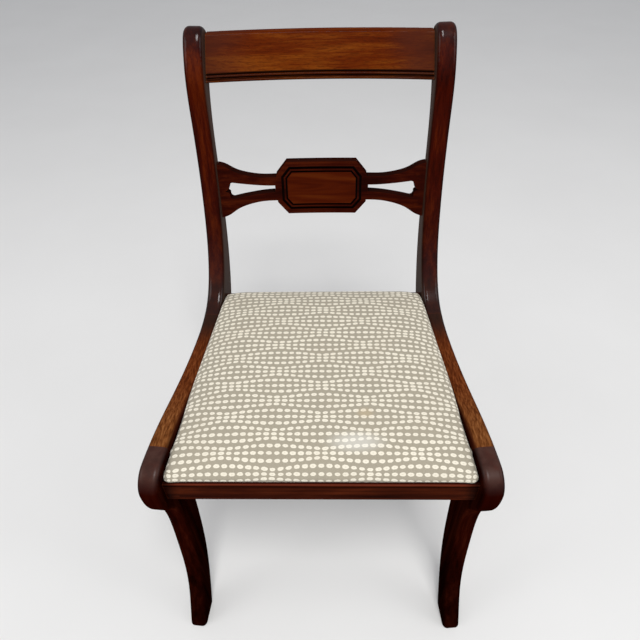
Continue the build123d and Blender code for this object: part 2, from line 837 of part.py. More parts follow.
# Seat frame: full-width front and rear rails with the side rails between them
seat_split_front = seat_front_y + wood_inset + seat_rail_width
seat_split_rear = seat_rear_y - wood_inset - seat_rail_width
seat_dowel_height = frame_bottom + seat_rail_thickness / 2
seat_dowel_seats = []
for split_y in (seat_split_front, seat_split_rear):
    middle_x = inner_half_width(split_y) - seat_side_gap - wood_inset - seat_rail_width / 2
    for side in both_sides:
        for step in (-1, 1):
            spot = (side * (middle_x + step * seat_dowel_spacing / 2), split_y, seat_dowel_height)
            seat_dowel_seats.append(Plane(origin=spot, z_dir=(0, 1, 0)))
seat_dowel_holes = dowel_holes(seat_dowel_seats, seat_dowel_diameter, seat_dowel_reach)
save(pegs(seat_dowel_seats, seat_dowel_diameter, seat_dowel_reach), "seat_frame_dowels")


def row_of(start, end, pitch):
    """Even spacing from start to end, as close to a pitch as fits."""
    count = max(1, round((end - start) / pitch))
    return [start + (end - start) * step / count for step in range(count + 1)]


def tack_places(inset, clear):
    """Tack places along the four sides of the seat, clear of its corners."""
    front = seat_front_y + inset
    rear = seat_rear_y - inset
    front_reach = inner_half_width(front) - seat_side_gap - inset - clear
    rear_reach = inner_half_width(rear) - seat_side_gap - inset - clear
    places = [(x, front) for x in row_of(-front_reach, front_reach, tack_pitch)]
    places += [(x, rear) for x in row_of(-rear_reach, rear_reach, tack_pitch)]
    for y in row_of(front + clear, rear - clear, tack_pitch):
        half = inner_half_width(y) - seat_side_gap - inset
        places += [(half, y), (-half, y)]
    return places


def tacks(places, underside, clearance):
    """Upholstery tacks driven up from an underside."""
    with BuildPart() as group:
        with BuildSketch(Plane.XY.offset(underside)):
            with Locations(*places):
                Circle(tack_pin_diameter / 2 + clearance)
        extrude(amount=tack_length + clearance)
        with BuildSketch(Plane.XY.offset(underside)):
            with Locations(*places):
                Circle(tack_head_diameter / 2)
        extrude(amount=-tack_head_thickness)
    return group.part


hem_tack_inset = hem_width - tack_head_diameter / 2 - tack_clearance
dust_inset = hem_width + soft_clearance
dust_tack_inset = dust_inset + dust_cover_margin
hem_tack_places = tack_places(hem_tack_inset, block_leg)
dust_tack_places = tack_places(dust_tack_inset, block_leg)
dust_bottom = dust_top - dust_cover_thickness
hem_tack_holes = tacks(hem_tack_places, hem_bottom, tack_clearance)
dust_tack_holes = tacks(dust_tack_places, dust_bottom, tack_clearance)
save(tacks(hem_tack_places, hem_bottom, 0), "cover_tacks")
save(tacks(dust_tack_places, dust_bottom, 0), "dust_cover_tacks")

with BuildPart() as seat_ring:
    add(flat_plan(wood_inset, frame_bottom))
    extrude(amount=seat_rail_thickness)
    add(flat_plan(wood_inset + seat_rail_width, frame_bottom))
    extrude(amount=seat_rail_thickness, mode=Mode.SUBTRACT)
    add(seat_dowel_holes, mode=Mode.SUBTRACT)
    add(hem_tack_holes, mode=Mode.SUBTRACT)
    add(dust_tack_holes, mode=Mode.SUBTRACT)

front_cut = Plane(origin=(0, seat_split_front, 0), x_dir=(1, 0, 0), z_dir=(0, 1, 0))
rear_cut = Plane(origin=(0, seat_split_rear, 0), x_dir=(1, 0, 0), z_dir=(0, 1, 0))
with BuildPart() as seat_front_rail:
    add(seat_ring.part)
    split(bisect_by=front_cut, keep=Keep.BOTTOM)
save(seat_front_rail.part, "seat_front_rail")

with BuildPart() as seat_rear_rail:
    add(seat_ring.part)
    split(bisect_by=rear_cut, keep=Keep.TOP)
save(seat_rear_rail.part, "seat_rear_rail")

with BuildPart() as seat_side_rail:
    add(seat_ring.part)
    split(bisect_by=front_cut, keep=Keep.TOP)
    split(bisect_by=rear_cut, keep=Keep.BOTTOM)
    split(bisect_by=Plane.YZ, keep=Keep.TOP)
save_pair(seat_side_rail.part, "seat_side_rail")

# Webbing: straps from front to back, with straps from side to side lying on them
strap_steps = (-1, 0, 1)
seat_middle_y = (seat_front_y + seat_rear_y) / 2
with BuildPart() as webbing:
    with BuildSketch(Plane.XY.offset(lay)):
        with Locations(*[(step * webbing_pitch, seat_middle_y) for step in strap_steps]):
            Rectangle(webbing_width, seat_depth - 2 * (wood_inset + webbing_margin))
    extrude(amount=webbing_thickness)
    for step in strap_steps:
        strap_y = seat_middle_y + step * webbing_pitch
        strap_inset = seat_side_gap + wood_inset + webbing_margin
        strap_half = inner_half_width(strap_y + webbing_width / 2) - strap_inset
        with BuildSketch(Plane.XY.offset(lay + webbing_thickness)):
            with Locations((0, strap_y)):
                Rectangle(2 * strap_half, webbing_width)
        extrude(amount=webbing_thickness)
save(webbing.part, "seat_webbing")

with BuildPart() as hessian:
    add(flat_plan(wood_inset + webbing_margin / 2, hessian_bottom))
    extrude(amount=hessian_thickness)
save(hessian.part, "seat_hessian")

with BuildPart() as pad:
    add(cushion(wood_inset, pad_bottom))
save(pad.part, "seat_pad")

with BuildPart() as cover:
    add(cushion(0, hem_bottom))
    add(cushion(void_inset, frame_bottom), mode=Mode.SUBTRACT)
    add(flat_plan(hem_width, hem_bottom))
    extrude(amount=cover_thickness, mode=Mode.SUBTRACT)
    add(hem_tack_holes, mode=Mode.SUBTRACT)
save(cover.part, "seat_cover")

with BuildPart() as dust_cover:
    add(flat_plan(dust_inset, dust_bottom))
    extrude(amount=dust_cover_thickness)
    add(dust_tack_holes, mode=Mode.SUBTRACT)
save(dust_cover.part, "seat_dust_cover")
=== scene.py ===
# %% [markdown]
# # A dining side chair, dressed
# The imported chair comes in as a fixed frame: every wooden piece is already in its place. This lesson
# gives each piece its finish, and makes the soft pieces of the lift-out seat, which a solid can't show.
# Modelling the wood again in Blender would risk two chairs that differ, so its meshes are left alone.

# %% Load the frame
import math

import numpy as np
import bmesh
import bpy
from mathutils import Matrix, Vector
from mathutils.bvhtree import BVHTree


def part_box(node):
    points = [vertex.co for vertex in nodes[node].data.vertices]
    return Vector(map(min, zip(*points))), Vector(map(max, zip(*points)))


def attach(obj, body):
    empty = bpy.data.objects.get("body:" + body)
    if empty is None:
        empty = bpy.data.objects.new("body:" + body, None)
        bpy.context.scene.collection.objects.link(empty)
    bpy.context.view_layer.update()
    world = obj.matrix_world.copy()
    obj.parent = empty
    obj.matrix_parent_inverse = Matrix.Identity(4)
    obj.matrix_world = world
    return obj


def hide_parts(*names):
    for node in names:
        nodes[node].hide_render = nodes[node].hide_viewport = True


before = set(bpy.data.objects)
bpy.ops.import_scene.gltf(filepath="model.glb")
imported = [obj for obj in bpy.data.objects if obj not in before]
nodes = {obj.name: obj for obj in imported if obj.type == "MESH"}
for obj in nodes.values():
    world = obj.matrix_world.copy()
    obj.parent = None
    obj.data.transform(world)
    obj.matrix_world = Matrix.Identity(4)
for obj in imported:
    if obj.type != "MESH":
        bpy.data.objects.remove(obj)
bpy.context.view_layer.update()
scene = bpy.context.scene
scene.view_settings.view_transform = "Standard"

# %% [markdown]
# The seat has to drop into its frame, so the sizes that it shares with the frame are repeated here, in
# metres. They could be read off the meshes, but a named size says what it is for, and the seat follows it
# when it changes. Only the place of the toe line, from which both side frames run back, comes from the
# front rail's own box.

# %% Sizes shared with the frame
splay = math.radians(5)
front_width = 0.4824
frame_thickness = 0.0294
front_rail_setback = 0.042
front_lip = 0.005
lip_gap = 0.0007
seat_depth = 0.372
seat_side_gap = 0.0012
ledge_height = 0.404
cross_rail_height = 0.5995
tablet_half_width = 0.0745
tablet_half_height = 0.045
tablet_cut_width = 0.0175
tablet_cut_height = 0.0215
tablet_border = 0.008
tablet_groove = 0.004
tablet_bead = 0.003
tablet_inner_groove = 0.0026
toe_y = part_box("front_rail")[0].y - front_rail_setback
seat_front = toe_y + front_rail_setback + front_lip + lip_gap
seat_rear = seat_front + seat_depth


def opening_half(y):
    """Half the width between the side frames' inner faces at a depth."""
    outer = front_width / 2 - (y - toe_y) * math.tan(splay)
    return outer - frame_thickness / math.cos(splay)


print("seat opening:", round(2 * opening_half(seat_front), 4), "m wide in front,",
      round(2 * opening_half(seat_rear), 4), "m at the back")

# %% [markdown]
# The camera looks down on the chair from a standing person's eye, close by, so the back leans away and
# the legs shorten. It could be moved by hand until the picture looks right. Here its place and angles were
# worked out from straight lines of known length, so the chair's proportions can be trusted.

# %% Camera
sensor_width = 36.0
picture_pixels = 640
focal_pixels = 541
eye_aside = 0.0175
eye_before_toes = 0.3149
eye_height = 1.0705
eye_angles = (45.938, 1.111, 0.784)
eye = bpy.data.cameras.new("eye")
eye.sensor_width = sensor_width
eye.lens = sensor_width * focal_pixels / picture_pixels
camera = bpy.data.objects.new("eye", eye)
scene.collection.objects.link(camera)
camera.location = (eye_aside, toe_y - eye_before_toes, eye_height)
camera.rotation_euler = [math.radians(angle) for angle in eye_angles]
scene.camera = camera
print("camera at", [round(x, 3) for x in camera.location], "lens", round(eye.lens, 2))

# %% [markdown]
# A finish is a small network of nodes. It could be drawn in the node editor, but then nobody could read it
# here. These helpers add one node each and hand back its output, so that a finish reads from top to bottom
# like a recipe. The first ones work with numbers.


# %% Helpers for numbers
def add_node(tree, kind, **settings):
    """A new node with its settings."""
    made = tree.nodes.new(kind)
    for name, value in settings.items():
        setattr(made, name, value)
    return made


def feed(tree, socket, value):
    """Give an input a number, a colour or another node's output."""
    if isinstance(value, bpy.types.NodeSocket):
        tree.links.new(value, socket)
    else:
        socket.default_value = value


def sum_of(tree, operation, *values):
    """One step of arithmetic."""
    step = add_node(tree, "ShaderNodeMath", operation=operation)
    for socket, value in zip(step.inputs, values):
        feed(tree, socket, value)
    return step.outputs[0]


def ease(tree, value, low, high, start=0.0, end=1.0):
    """Start below a low value, end above a high one, and a smooth step between."""
    step = add_node(tree, "ShaderNodeMapRange", interpolation_type="SMOOTHSTEP")
    for socket, given in zip(step.inputs, (value, low, high, start, end)):
        feed(tree, socket, given)
    return step.outputs[0]


print("number helpers ready")

# %% [markdown]
# The next helpers work with colours, random shades and relief. Every finish stays procedural: it is worked
# out at each point and needs no picture, so it is sharp from near by and has no seams.


# %% Helpers for colours and surfaces
def tint(tree, share, first, second, way="MIX"):
    """Two colours mixed by a share."""
    step = add_node(tree, "ShaderNodeMix", data_type="RGBA", blend_type=way, clamp_factor=True)
    feed(tree, step.inputs[0], share)
    for socket, colour in ((step.inputs[6], first), (step.inputs[7], second)):
        feed(tree, socket, colour if isinstance(colour, bpy.types.NodeSocket) else (*colour, 1))
    return step.outputs[2]


def stretched(tree, place, sizes):
    """Coordinates scaled each way by a count per metre, so that a large count gives a fine texture."""
    step = add_node(tree, "ShaderNodeVectorMath", operation="MULTIPLY")
    feed(tree, step.inputs[0], place)
    feed(tree, step.inputs[1], sizes)
    return step.outputs[0]


def cloudy(tree, place, detail=2.0, roughness=0.5, distortion=0.0):
    """Smooth random shades, about 0.5 on average."""
    step = add_node(tree, "ShaderNodeTexNoise")
    feed(tree, step.inputs["Vector"], place)
    step.inputs["Scale"].default_value = 1
    step.inputs["Detail"].default_value = detail
    step.inputs["Roughness"].default_value = roughness
    step.inputs["Distortion"].default_value = distortion
    return step.outputs["Fac"]


def shades(tree, value, *stops):
    """A run of colours along a value."""
    step = add_node(tree, "ShaderNodeValToRGB")
    feed(tree, step.inputs[0], value)
    band = step.color_ramp.elements
    while len(band) < len(stops):
        band.new(0.5)
    for mark, (position, colour) in zip(band, stops):
        mark.position = position
        mark.color = (*colour, 1)
    return step.outputs[0]


def raised(tree, height, depth, strength):
    """Surface direction tilted by small hills, a depth in metres high."""
    step = add_node(tree, "ShaderNodeBump")
    step.inputs["Strength"].default_value = strength
    step.inputs["Distance"].default_value = depth
    feed(tree, step.inputs["Height"], height)
    return step.outputs["Normal"]


def new_finish(name):
    """An empty material, its tree and its shader."""
    finish = bpy.data.materials.new(name)
    finish.use_nodes = True
    return finish, finish.node_tree, finish.node_tree.nodes["Principled BSDF"]


def own_place(tree):
    """The object's own coordinates, in metres."""
    return add_node(tree, "ShaderNodeTexCoord").outputs["Object"]


print("colour and surface helpers ready")

# %% [markdown]
# The chair stands on a plain pale floor. A room could be built round it, but a plain floor keeps the eye on
# the chair and still takes its shadow. A faint mottle stops it from looking like paper.

# %% Floor
floor_size = 24.0
floor_mesh = bpy.data.meshes.new("floor")
half_floor = floor_size / 2
floor_mesh.from_pydata([(-half_floor, -half_floor, 0), (half_floor, -half_floor, 0),
                        (half_floor, half_floor, 0), (-half_floor, half_floor, 0)], [], [(0, 1, 2, 3)])
floor = bpy.data.objects.new("floor", floor_mesh)
scene.collection.objects.link(floor)
floor_finish, tree, shader = new_finish("pale_floor")
mottle = cloudy(tree, stretched(tree, own_place(tree), (3, 3, 3)), detail=3)
floor_colour = shades(tree, mottle, (0.3, (0.8, 0.79, 0.77)), (0.7, (0.82, 0.81, 0.79)))
feed(tree, shader.inputs["Base Color"], floor_colour)
shader.inputs["Roughness"].default_value = 0.8
floor_mesh.materials.append(floor_finish)
print("floor of", floor_size, "m laid")

# %% [markdown]
# The light is soft: an even sky, one large lamp above and in front for the long highlights on the round
# posts, and two weak ones at the sides. A sun would be simpler, but its hard shadows would hide the legs.

# %% Light
sky = bpy.data.worlds.new("sky")
scene.world = sky
sky.use_nodes = True
sky_shade = sky.node_tree.nodes["Background"]
sky_shade.inputs["Color"].default_value = (0.93, 0.95, 1.0, 1)
sky_shade.inputs["Strength"].default_value = 0.5


def soft_lamp(name, spot, aim, size, power):
    """A square lamp that looks at a point."""
    light = bpy.data.lights.new(name, "AREA")
    light.size = size
    light.energy = power
    lamp = bpy.data.objects.new(name, light)
    scene.collection.objects.link(lamp)
    lamp.location = spot
    lamp.rotation_euler = (Vector(aim) - Vector(spot)).to_track_quat("-Z", "Y").to_euler()


chair_middle = (0, 0, 0.5)
soft_lamp("key", (0.3, -1.6, 4.0), chair_middle, size=1.3, power=92)
soft_lamp("left_fill", (-2.2, -0.6, 1.7), chair_middle, size=1.2, power=10)
soft_lamp("right_fill", (2.2, -0.4, 1.7), chair_middle, size=1.2, power=10)
print("sky and three lamps ready")

# %% [markdown]
# The frame is polished mahogany. Its colour runs along the grain in ribbons, with fine streaks and short
# dark pores. A picture of a board could be wrapped round each piece, but it would smear at the ends. Random
# shades that are stretched along the grain go right through the wood, as real grain does. One recipe serves
# every wooden piece, with the grain turned to the way the board was sawn.


# %% Mahogany
grain_turns = {"X": "XYZ", "Y": "YXZ", "Z": "ZXY"}
least_roughness = 0.17
streak_roughness = 0.14


def mahogany(name, grain, dark, middle, light, shine=0.12):
    """Polished wood whose grain runs along one axis. The colour is left open for a piece's own marks."""
    finish, tree, shader = new_finish(name)
    split = add_node(tree, "ShaderNodeSeparateXYZ")
    feed(tree, split.inputs[0], own_place(tree))
    turned = add_node(tree, "ShaderNodeCombineXYZ")
    for socket, axis in zip(turned.inputs, grain_turns[grain]):
        feed(tree, socket, split.outputs[axis])
    along = turned.outputs[0]
    figure = cloudy(tree, stretched(tree, along, (5, 34, 34)), detail=4, roughness=0.55, distortion=0.8)
    ribbon = cloudy(tree, stretched(tree, along, (1.7, 130, 130)), detail=2)
    streak = cloudy(tree, stretched(tree, along, (24, 640, 640)), detail=2)
    tone = sum_of(tree, "MULTIPLY_ADD", figure, 0.5, sum_of(tree, "MULTIPLY", ribbon, 0.3))
    tone = sum_of(tree, "MULTIPLY_ADD", streak, 0.2, tone)
    colour = shades(tree, tone, (0.36, dark), (0.5, middle), (0.64, light))
    pore = ease(tree, cloudy(tree, stretched(tree, along, (190, 2300, 2300)), detail=1), 0.6, 0.7)
    facing = add_node(tree, "ShaderNodeSeparateXYZ")
    feed(tree, facing.inputs[0], add_node(tree, "ShaderNodeTexCoord").outputs["Normal"])
    colour = tint(tree, sum_of(tree, "MULTIPLY", pore, 0.5), colour, [x * 0.45 for x in dark])
    return {
        "finish": finish, "tree": tree, "shader": shader, "split": split, "along": along, "colour": colour,
        "pore": pore, "streak": streak, "tone": tone, "light": light, "shine": shine, "facing": facing,
        "sides": sum_of(tree, "ABSOLUTE", facing.outputs["X"]),
        "roughness": sum_of(tree, "MULTIPLY_ADD", streak, streak_roughness, least_roughness),
    }


print("mahogany recipe for grain along", ", ".join(grain_turns))

# %% [markdown]
# The grooves are painted dark, as painted shade, and the edges are rubbed lighter, which also paints a
# highlight along them. Both could be painted by hand. The Ambient Occlusion node finds them by itself,
# looking outwards for grooves and inwards for edges, and so it also holds for a piece whose shape changes
# later. Faces that turn sideways get painted shade too. The polish itself is a thin coat.


# %% Polish
groove_reach = 0.005
edge_reach = 0.0025
edge_share = 0.35
painted_side_darkness = 0.4
coat_blur = 0.24


def polish(wood):
    """Close a mahogany finish: painted shade in the grooves and on the side faces, edges rubbed lighter
    with a painted highlight, pores and a thin coat of polish.
    """
    tree = wood["tree"]
    shader = wood["shader"]
    # Painted shade: the grooves darken where the Ambient Occlusion node finds them.
    corner = add_node(tree, "ShaderNodeAmbientOcclusion", only_local=True, samples=8)
    corner.inputs["Distance"].default_value = groove_reach
    painted_groove_shade = ease(tree, corner.outputs["AO"], 0.4, 0.92, 0.1, 1.0)
    # The edges are rubbed lighter, which also paints a highlight along them.
    rim = add_node(tree, "ShaderNodeAmbientOcclusion", only_local=True, inside=True, samples=8)
    rim.inputs["Distance"].default_value = edge_reach
    rubbed_and_highlit = ease(tree, rim.outputs["AO"], 0.75, 0.35, 0.0, edge_share)
    colour = tint(tree, rubbed_and_highlit, wood["colour"], wood["light"])
    colour = tint(tree, 1.0, colour, painted_groove_shade, "MULTIPLY")
    # Painted shade: faces that turn sideways are darker.
    painted_side_shade = ease(tree, wood["sides"], 0.35, 0.95, 1.0, painted_side_darkness)
    colour = tint(tree, 1.0, colour, painted_side_shade, "MULTIPLY")
    feed(tree, shader.inputs["Base Color"], colour)
    feed(tree, shader.inputs["Roughness"], wood["roughness"])
    height = sum_of(tree, "SUBTRACT", sum_of(tree, "MULTIPLY", wood["streak"], 0.4), wood["pore"])
    feed(tree, shader.inputs["Normal"], raised(tree, height, 0.0002, 0.12))
    shader.inputs["Specular IOR Level"].default_value = 0
    if "coat" not in wood:
        wood["coat"] = ease(tree, wood["sides"], 0.3, 0.9, wood["shine"], 0.15 * wood["shine"])
    feed(tree, shader.inputs["Coat Weight"], wood["coat"])
    shader.inputs["Coat Roughness"].default_value = wood.get("coat_blur", coat_blur)
    return wood["finish"]


def dress(finish, *names):
    """Put a finish on CAD nodes."""
    for name in names:
        mesh = nodes[name].data
        mesh.materials.clear()
        mesh.materials.append(finish)


print("polish ready")

# %% [markdown]
# The posts get painted shade on their lower part and at their rounded tops, and darken towards their roots,
# where they meet the side rails. Their inner sides, turned to each other, get a paler colour, a painted
# reflection. Each of these could be a material of its own, but then a hard line would show where two meet.
# Heights and the way that a face looks give soft masks instead.

# %% Posts
low_zone = (0.5, 0.68)
top_zone = (0.805, 0.834)
root_zone = (0.44, 0.475)
joint_dark = (0.015, 0.006, 0.0032)
painted_inner_reflection = (0.13, 0.072, 0.052)
post_wood = mahogany("post_mahogany", "Z", (0.015, 0.001, 0.0002), (0.044, 0.003, 0.0003),
                     (0.095, 0.012, 0.001))
tree = post_wood["tree"]
height = post_wood["split"].outputs["Z"]
# Painted shade: the lower part and the rounded top are darker.
painted_low_shade = ease(tree, height, *low_zone, 0.74, 1.0)
painted_top_shade = ease(tree, height, *top_zone, 1.0, 0.5)
painted_height_shade = sum_of(tree, "MULTIPLY", painted_low_shade, painted_top_shade)
post_colour = tint(tree, 1.0, post_wood["colour"], painted_height_shade, "MULTIPLY")
# Darker near the root, where the post meets the side rail.
post_colour = tint(tree, ease(tree, height, *root_zone, 0.6, 0.0), post_colour, joint_dark)
chair_side = sum_of(tree, "SIGN", post_wood["split"].outputs["X"])
turned_out = sum_of(tree, "MULTIPLY", chair_side, post_wood["facing"].outputs["X"])
inner_side = ease(tree, turned_out, -0.98, -0.75, 1.0, 0.0)
# Painted reflection: the inner sides, turned to each other, are paler.
inner_reflection_share = sum_of(tree, "MULTIPLY", inner_side, 0.8)
post_wood["colour"] = tint(tree, inner_reflection_share, post_colour, painted_inner_reflection)
post_up = ease(tree, post_wood["facing"].outputs["Z"], 0.12, 0.6, 0.05, 0.45)
post_wood["coat"] = sum_of(tree, "MAXIMUM", post_up, sum_of(tree, "MULTIPLY", inner_side, 0.13))
post_wood["coat_blur"] = 0.16
dress(polish(post_wood), "left_back_post", "right_back_post")
print("posts polished")

# %% [markdown]
# The front and rear rails are rubbed redder on top. Close to the seat and beside the front legs the wood
# is painted darker, as painted shadow. It could be left to the lamps, but their shadow alone is too weak
# there, so the wood itself is darker in those two places.

# %% Front and rear rail
seat_shadow = (seat_front - 0.0045, seat_front - 0.0025)
rail_end = opening_half(seat_front)
leg_shadow_width = 0.022
rail_wood = mahogany("rail_mahogany", "X", (0.014, 0.0016, 0.0006), (0.042, 0.006, 0.0017),
                     (0.09, 0.015, 0.004), shine=0.02)
tree = rail_wood["tree"]
split = rail_wood["split"]
rubbed_top = ease(tree, rail_wood["facing"].outputs["Z"], 0.5, 0.9, 0.0, 0.8)
rail_colour = tint(tree, rubbed_top, rail_wood["colour"], (0.15, 0.028, 0.014))
# Painted shadow under the front edge of the seat.
painted_seat_shadow = ease(tree, split.outputs["Y"], *seat_shadow, 0.0, 0.85)
rail_colour = tint(tree, painted_seat_shadow, rail_colour, (0.012, 0.002, 0.0015))
from_middle = sum_of(tree, "ABSOLUTE", split.outputs["X"])
# Painted shadow beside the front legs.
painted_leg_shadow = ease(tree, from_middle, rail_end - leg_shadow_width, rail_end, 0.0, 0.85)
rail_wood["colour"] = tint(tree, painted_leg_shadow, rail_colour, (0.005, 0.001, 0.0006))
dress(polish(rail_wood), "front_rail", "rear_rail")
print("front rail and rear rail polished")

# %% [markdown]
# The front legs are darker still: their rounded tops have gone brown with handling and carry a painted
# sheen, and painted shade darkens the feet to nearly black and the faces that turn to the front. A mask that
# joins the height with the way a face looks picks out the knee's top and front, so no part of the mesh has
# to be marked by hand. The brown is blotchy, because hands don't wear evenly and the sheen is mottled.

# %% Front legs
foot_zone = (0.02, 0.3)
knee_zone = (0.36, 0.4)
knee_red = (0.02, 0.0014, 0.0005)
handled_brown_sheen = (0.06, 0.025, 0.018)
leg_wood = mahogany("leg_mahogany", "Z", (0.006, 0.0007, 0.0003), (0.022, 0.0022, 0.0008),
                    (0.052, 0.008, 0.003))
tree = leg_wood["tree"]
facing = leg_wood["facing"]
height = leg_wood["split"].outputs["Z"]
# Painted shade: the feet, and the faces that turn to the front, are darker.
painted_foot_shade = ease(tree, height, *foot_zone, 0.5, 1.0)
painted_front_shade = ease(tree, facing.outputs["Y"], -0.9, -0.2, 0.95, 1.25)
painted_leg_shade = sum_of(tree, "MULTIPLY", painted_foot_shade, painted_front_shade)
leg_colour = tint(tree, 1.0, leg_wood["colour"], painted_leg_shade, "MULTIPLY")
on_knee = ease(tree, height, *knee_zone)
knee_front = sum_of(tree, "MULTIPLY", on_knee, ease(tree, facing.outputs["Y"], -0.9, -0.45, 0.75, 0.0))
leg_colour = tint(tree, knee_front, leg_colour, knee_red)
knee_up = sum_of(tree, "MULTIPLY", on_knee, facing.outputs["Z"])
blotch = cloudy(tree, stretched(tree, leg_wood["along"], (45, 70, 70)), detail=3, roughness=0.6)
blotch = ease(tree, blotch, 0.35, 0.65, 0.55, 0.95)
# Brown from handling together with a mottled painted sheen on the knee's top.
worn_and_painted_sheen = sum_of(tree, "MULTIPLY", ease(tree, knee_up, 0.4, 0.95), blotch)
leg_wood["colour"] = tint(tree, worn_and_painted_sheen, leg_colour, handled_brown_sheen)
leg_wood["coat"] = ease(tree, knee_up, 0.2, 0.8, 0.0, 0.34)
leg_wood["coat_blur"] = 0.34
dress(polish(leg_wood), "left_front_leg", "right_front_leg")
print("front legs polished")

# %% [markdown]
# Hands and sleeves have rubbed the polish off the tops of the side rails. The bare wood shows as a matt
# orange-brown with open pores. It is lightest just behind the leg joint, turns redder and darker towards
# the posts, and stops short of the inner edge, which the seat has kept covered. The worn strip could be
# painted. Measuring inwards from the splayed outer face gives it a rule, and the grain makes it ragged.

# %% Side rails
worn_reach = (0.0295, 0.0355)
ragged_reach = 0.012
red_zone = (toe_y + 0.09, toe_y + 0.23)
fade_zone = (toe_y + 0.25, toe_y + 0.38)
gloss_zone = (toe_y + 0.3, toe_y + 0.37)
dark_zone = (toe_y + 0.3, toe_y + 0.36)
side_wood = mahogany("side_rail_mahogany", "Y", (0.02, 0.003, 0.0011), (0.06, 0.0095, 0.0033),
                     (0.12, 0.025, 0.0085))
tree = side_wood["tree"]
split = side_wood["split"]
back = split.outputs["Y"]
face_up = ease(tree, side_wood["facing"].outputs["Z"], 0.3, 0.75)
reach = sum_of(tree, "MULTIPLY_ADD", back, math.tan(splay), sum_of(tree, "ABSOLUTE", split.outputs["X"]))
outer_reach = front_width / 2 + toe_y * math.tan(splay)
inward = sum_of(tree, "SUBTRACT", outer_reach, reach)
ragged = sum_of(tree, "MULTIPLY_ADD", side_wood["tone"], ragged_reach, inward)
worn = ease(tree, ragged, *worn_reach, 1.0, 0.0)
worn = sum_of(tree, "MULTIPLY", worn, face_up)
worn = sum_of(tree, "MULTIPLY", worn, ease(tree, back, *fade_zone, 1.0, 0.3))
bare_grain = cloudy(tree, stretched(tree, side_wood["along"], (60, 420, 420)), detail=3, roughness=0.6)
bare = shades(tree, bare_grain, (0.34, (0.085, 0.024, 0.0055)), (0.52, (0.168, 0.055, 0.0145)),
              (0.68, (0.27, 0.105, 0.032)))
red_bare = tint(tree, 1.0, bare, (0.74, 0.52, 0.46), "MULTIPLY")
bare = tint(tree, ease(tree, back, *red_zone), bare, red_bare)
bare = tint(tree, sum_of(tree, "MULTIPLY", side_wood["pore"], 0.6), bare, (0.05, 0.016, 0.006))
side_colour = tint(tree, worn, side_wood["colour"], bare)
# Darker towards the rear, where the rail meets the post.
side_wood["colour"] = tint(tree, ease(tree, back, *dark_zone, 0.0, 0.85), side_colour, joint_dark)
side_wood["roughness"] = sum_of(tree, "MULTIPLY_ADD", worn, 0.34, side_wood["roughness"])
side_wood["coat"] = sum_of(tree, "MULTIPLY", ease(tree, back, *gloss_zone, 0.04, 0.3), face_up)
dress(polish(side_wood), "left_side_rail", "right_side_rail")
print("side rails polished and worn")

# %% [markdown]
# The crest rail was cut from a good board: lighter, with a lively figure that runs from side to side. Dark
# lines of painted shade lie below, between and above its two reeds. The reeds are solid already, so the
# lines could be left to shadow, but the painted shade is darker. Their heights follow from the reeds' pitch
# and the rail's tilt. Its ends carry a darker, purplish painted reflection with a ragged edge.

# %% Crest rail
crest_tilt = math.radians(28)
reed_pitch = 0.0063
crest_wood = mahogany("crest_mahogany", "X", (0.042, 0.0042, 0.0004), (0.1, 0.0135, 0.0006),
                      (0.18, 0.042, 0.003), shine=0.05)
tree = crest_wood["tree"]
split = crest_wood["split"]
height = split.outputs["Z"]
crest_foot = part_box("crest_rail")[0].z
reed_rise = reed_pitch * math.cos(crest_tilt)
reed_top = crest_foot + 2 * reed_rise
side_way = sum_of(tree, "ABSOLUTE", split.outputs["X"])
patchy = cloudy(tree, stretched(tree, crest_wood["along"], (9, 14, 14)), detail=2, distortion=0.5)
# Painted reflection: the ends are darker and purplish.
painted_end_reflection = ease(tree, sum_of(tree, "MULTIPLY_ADD", patchy, 0.09, side_way), 0.13, 0.2, 0.0, 0.6)
flecks = cloudy(tree, stretched(tree, crest_wood["along"], (80, 820, 820)), detail=2)
flecks = ease(tree, flecks, 0.52, 0.64, 0.0, 0.5)
crest_colour = tint(tree, flecks, crest_wood["colour"], (0.045, 0.006, 0.0006))
crest_colour = tint(tree, painted_end_reflection, crest_colour, (0.06, 0.015, 0.0085))
on_reeds = ease(tree, height, reed_top, reed_top + 0.001, 0.6, 0.0)
crest_colour = tint(tree, on_reeds, crest_colour, (0.02, 0.0035, 0.001))
# Painted shade: dark lines below, between and above the reeds.
for level in (crest_foot, crest_foot + reed_rise, crest_foot + 2 * reed_rise):
    off_line = sum_of(tree, "ABSOLUTE", sum_of(tree, "SUBTRACT", height, level))
    painted_reed_shade = ease(tree, off_line, 0.0006, 0.0013, 0.9, 0.0)
    crest_colour = tint(tree, painted_reed_shade, crest_colour, (0.004, 0.001, 0.0006))
crest_wood["colour"] = crest_colour
dress(polish(crest_wood), "crest_rail")
print("crest rail polished, reeds up to", round(reed_top, 4), "m")

# %% [markdown]
# The cross rail carries a carved octagonal tablet: a border, a groove, a bead, a second groove and a lighter
# field. Each ring could be its own material on its own faces. The distance from the octagon's edge, the
# least of three straight distances, gives all the rings at once and follows the carving. Both grooves are
# painted nearly black, as painted shade, and the faces that turn up or down get painted shade too.

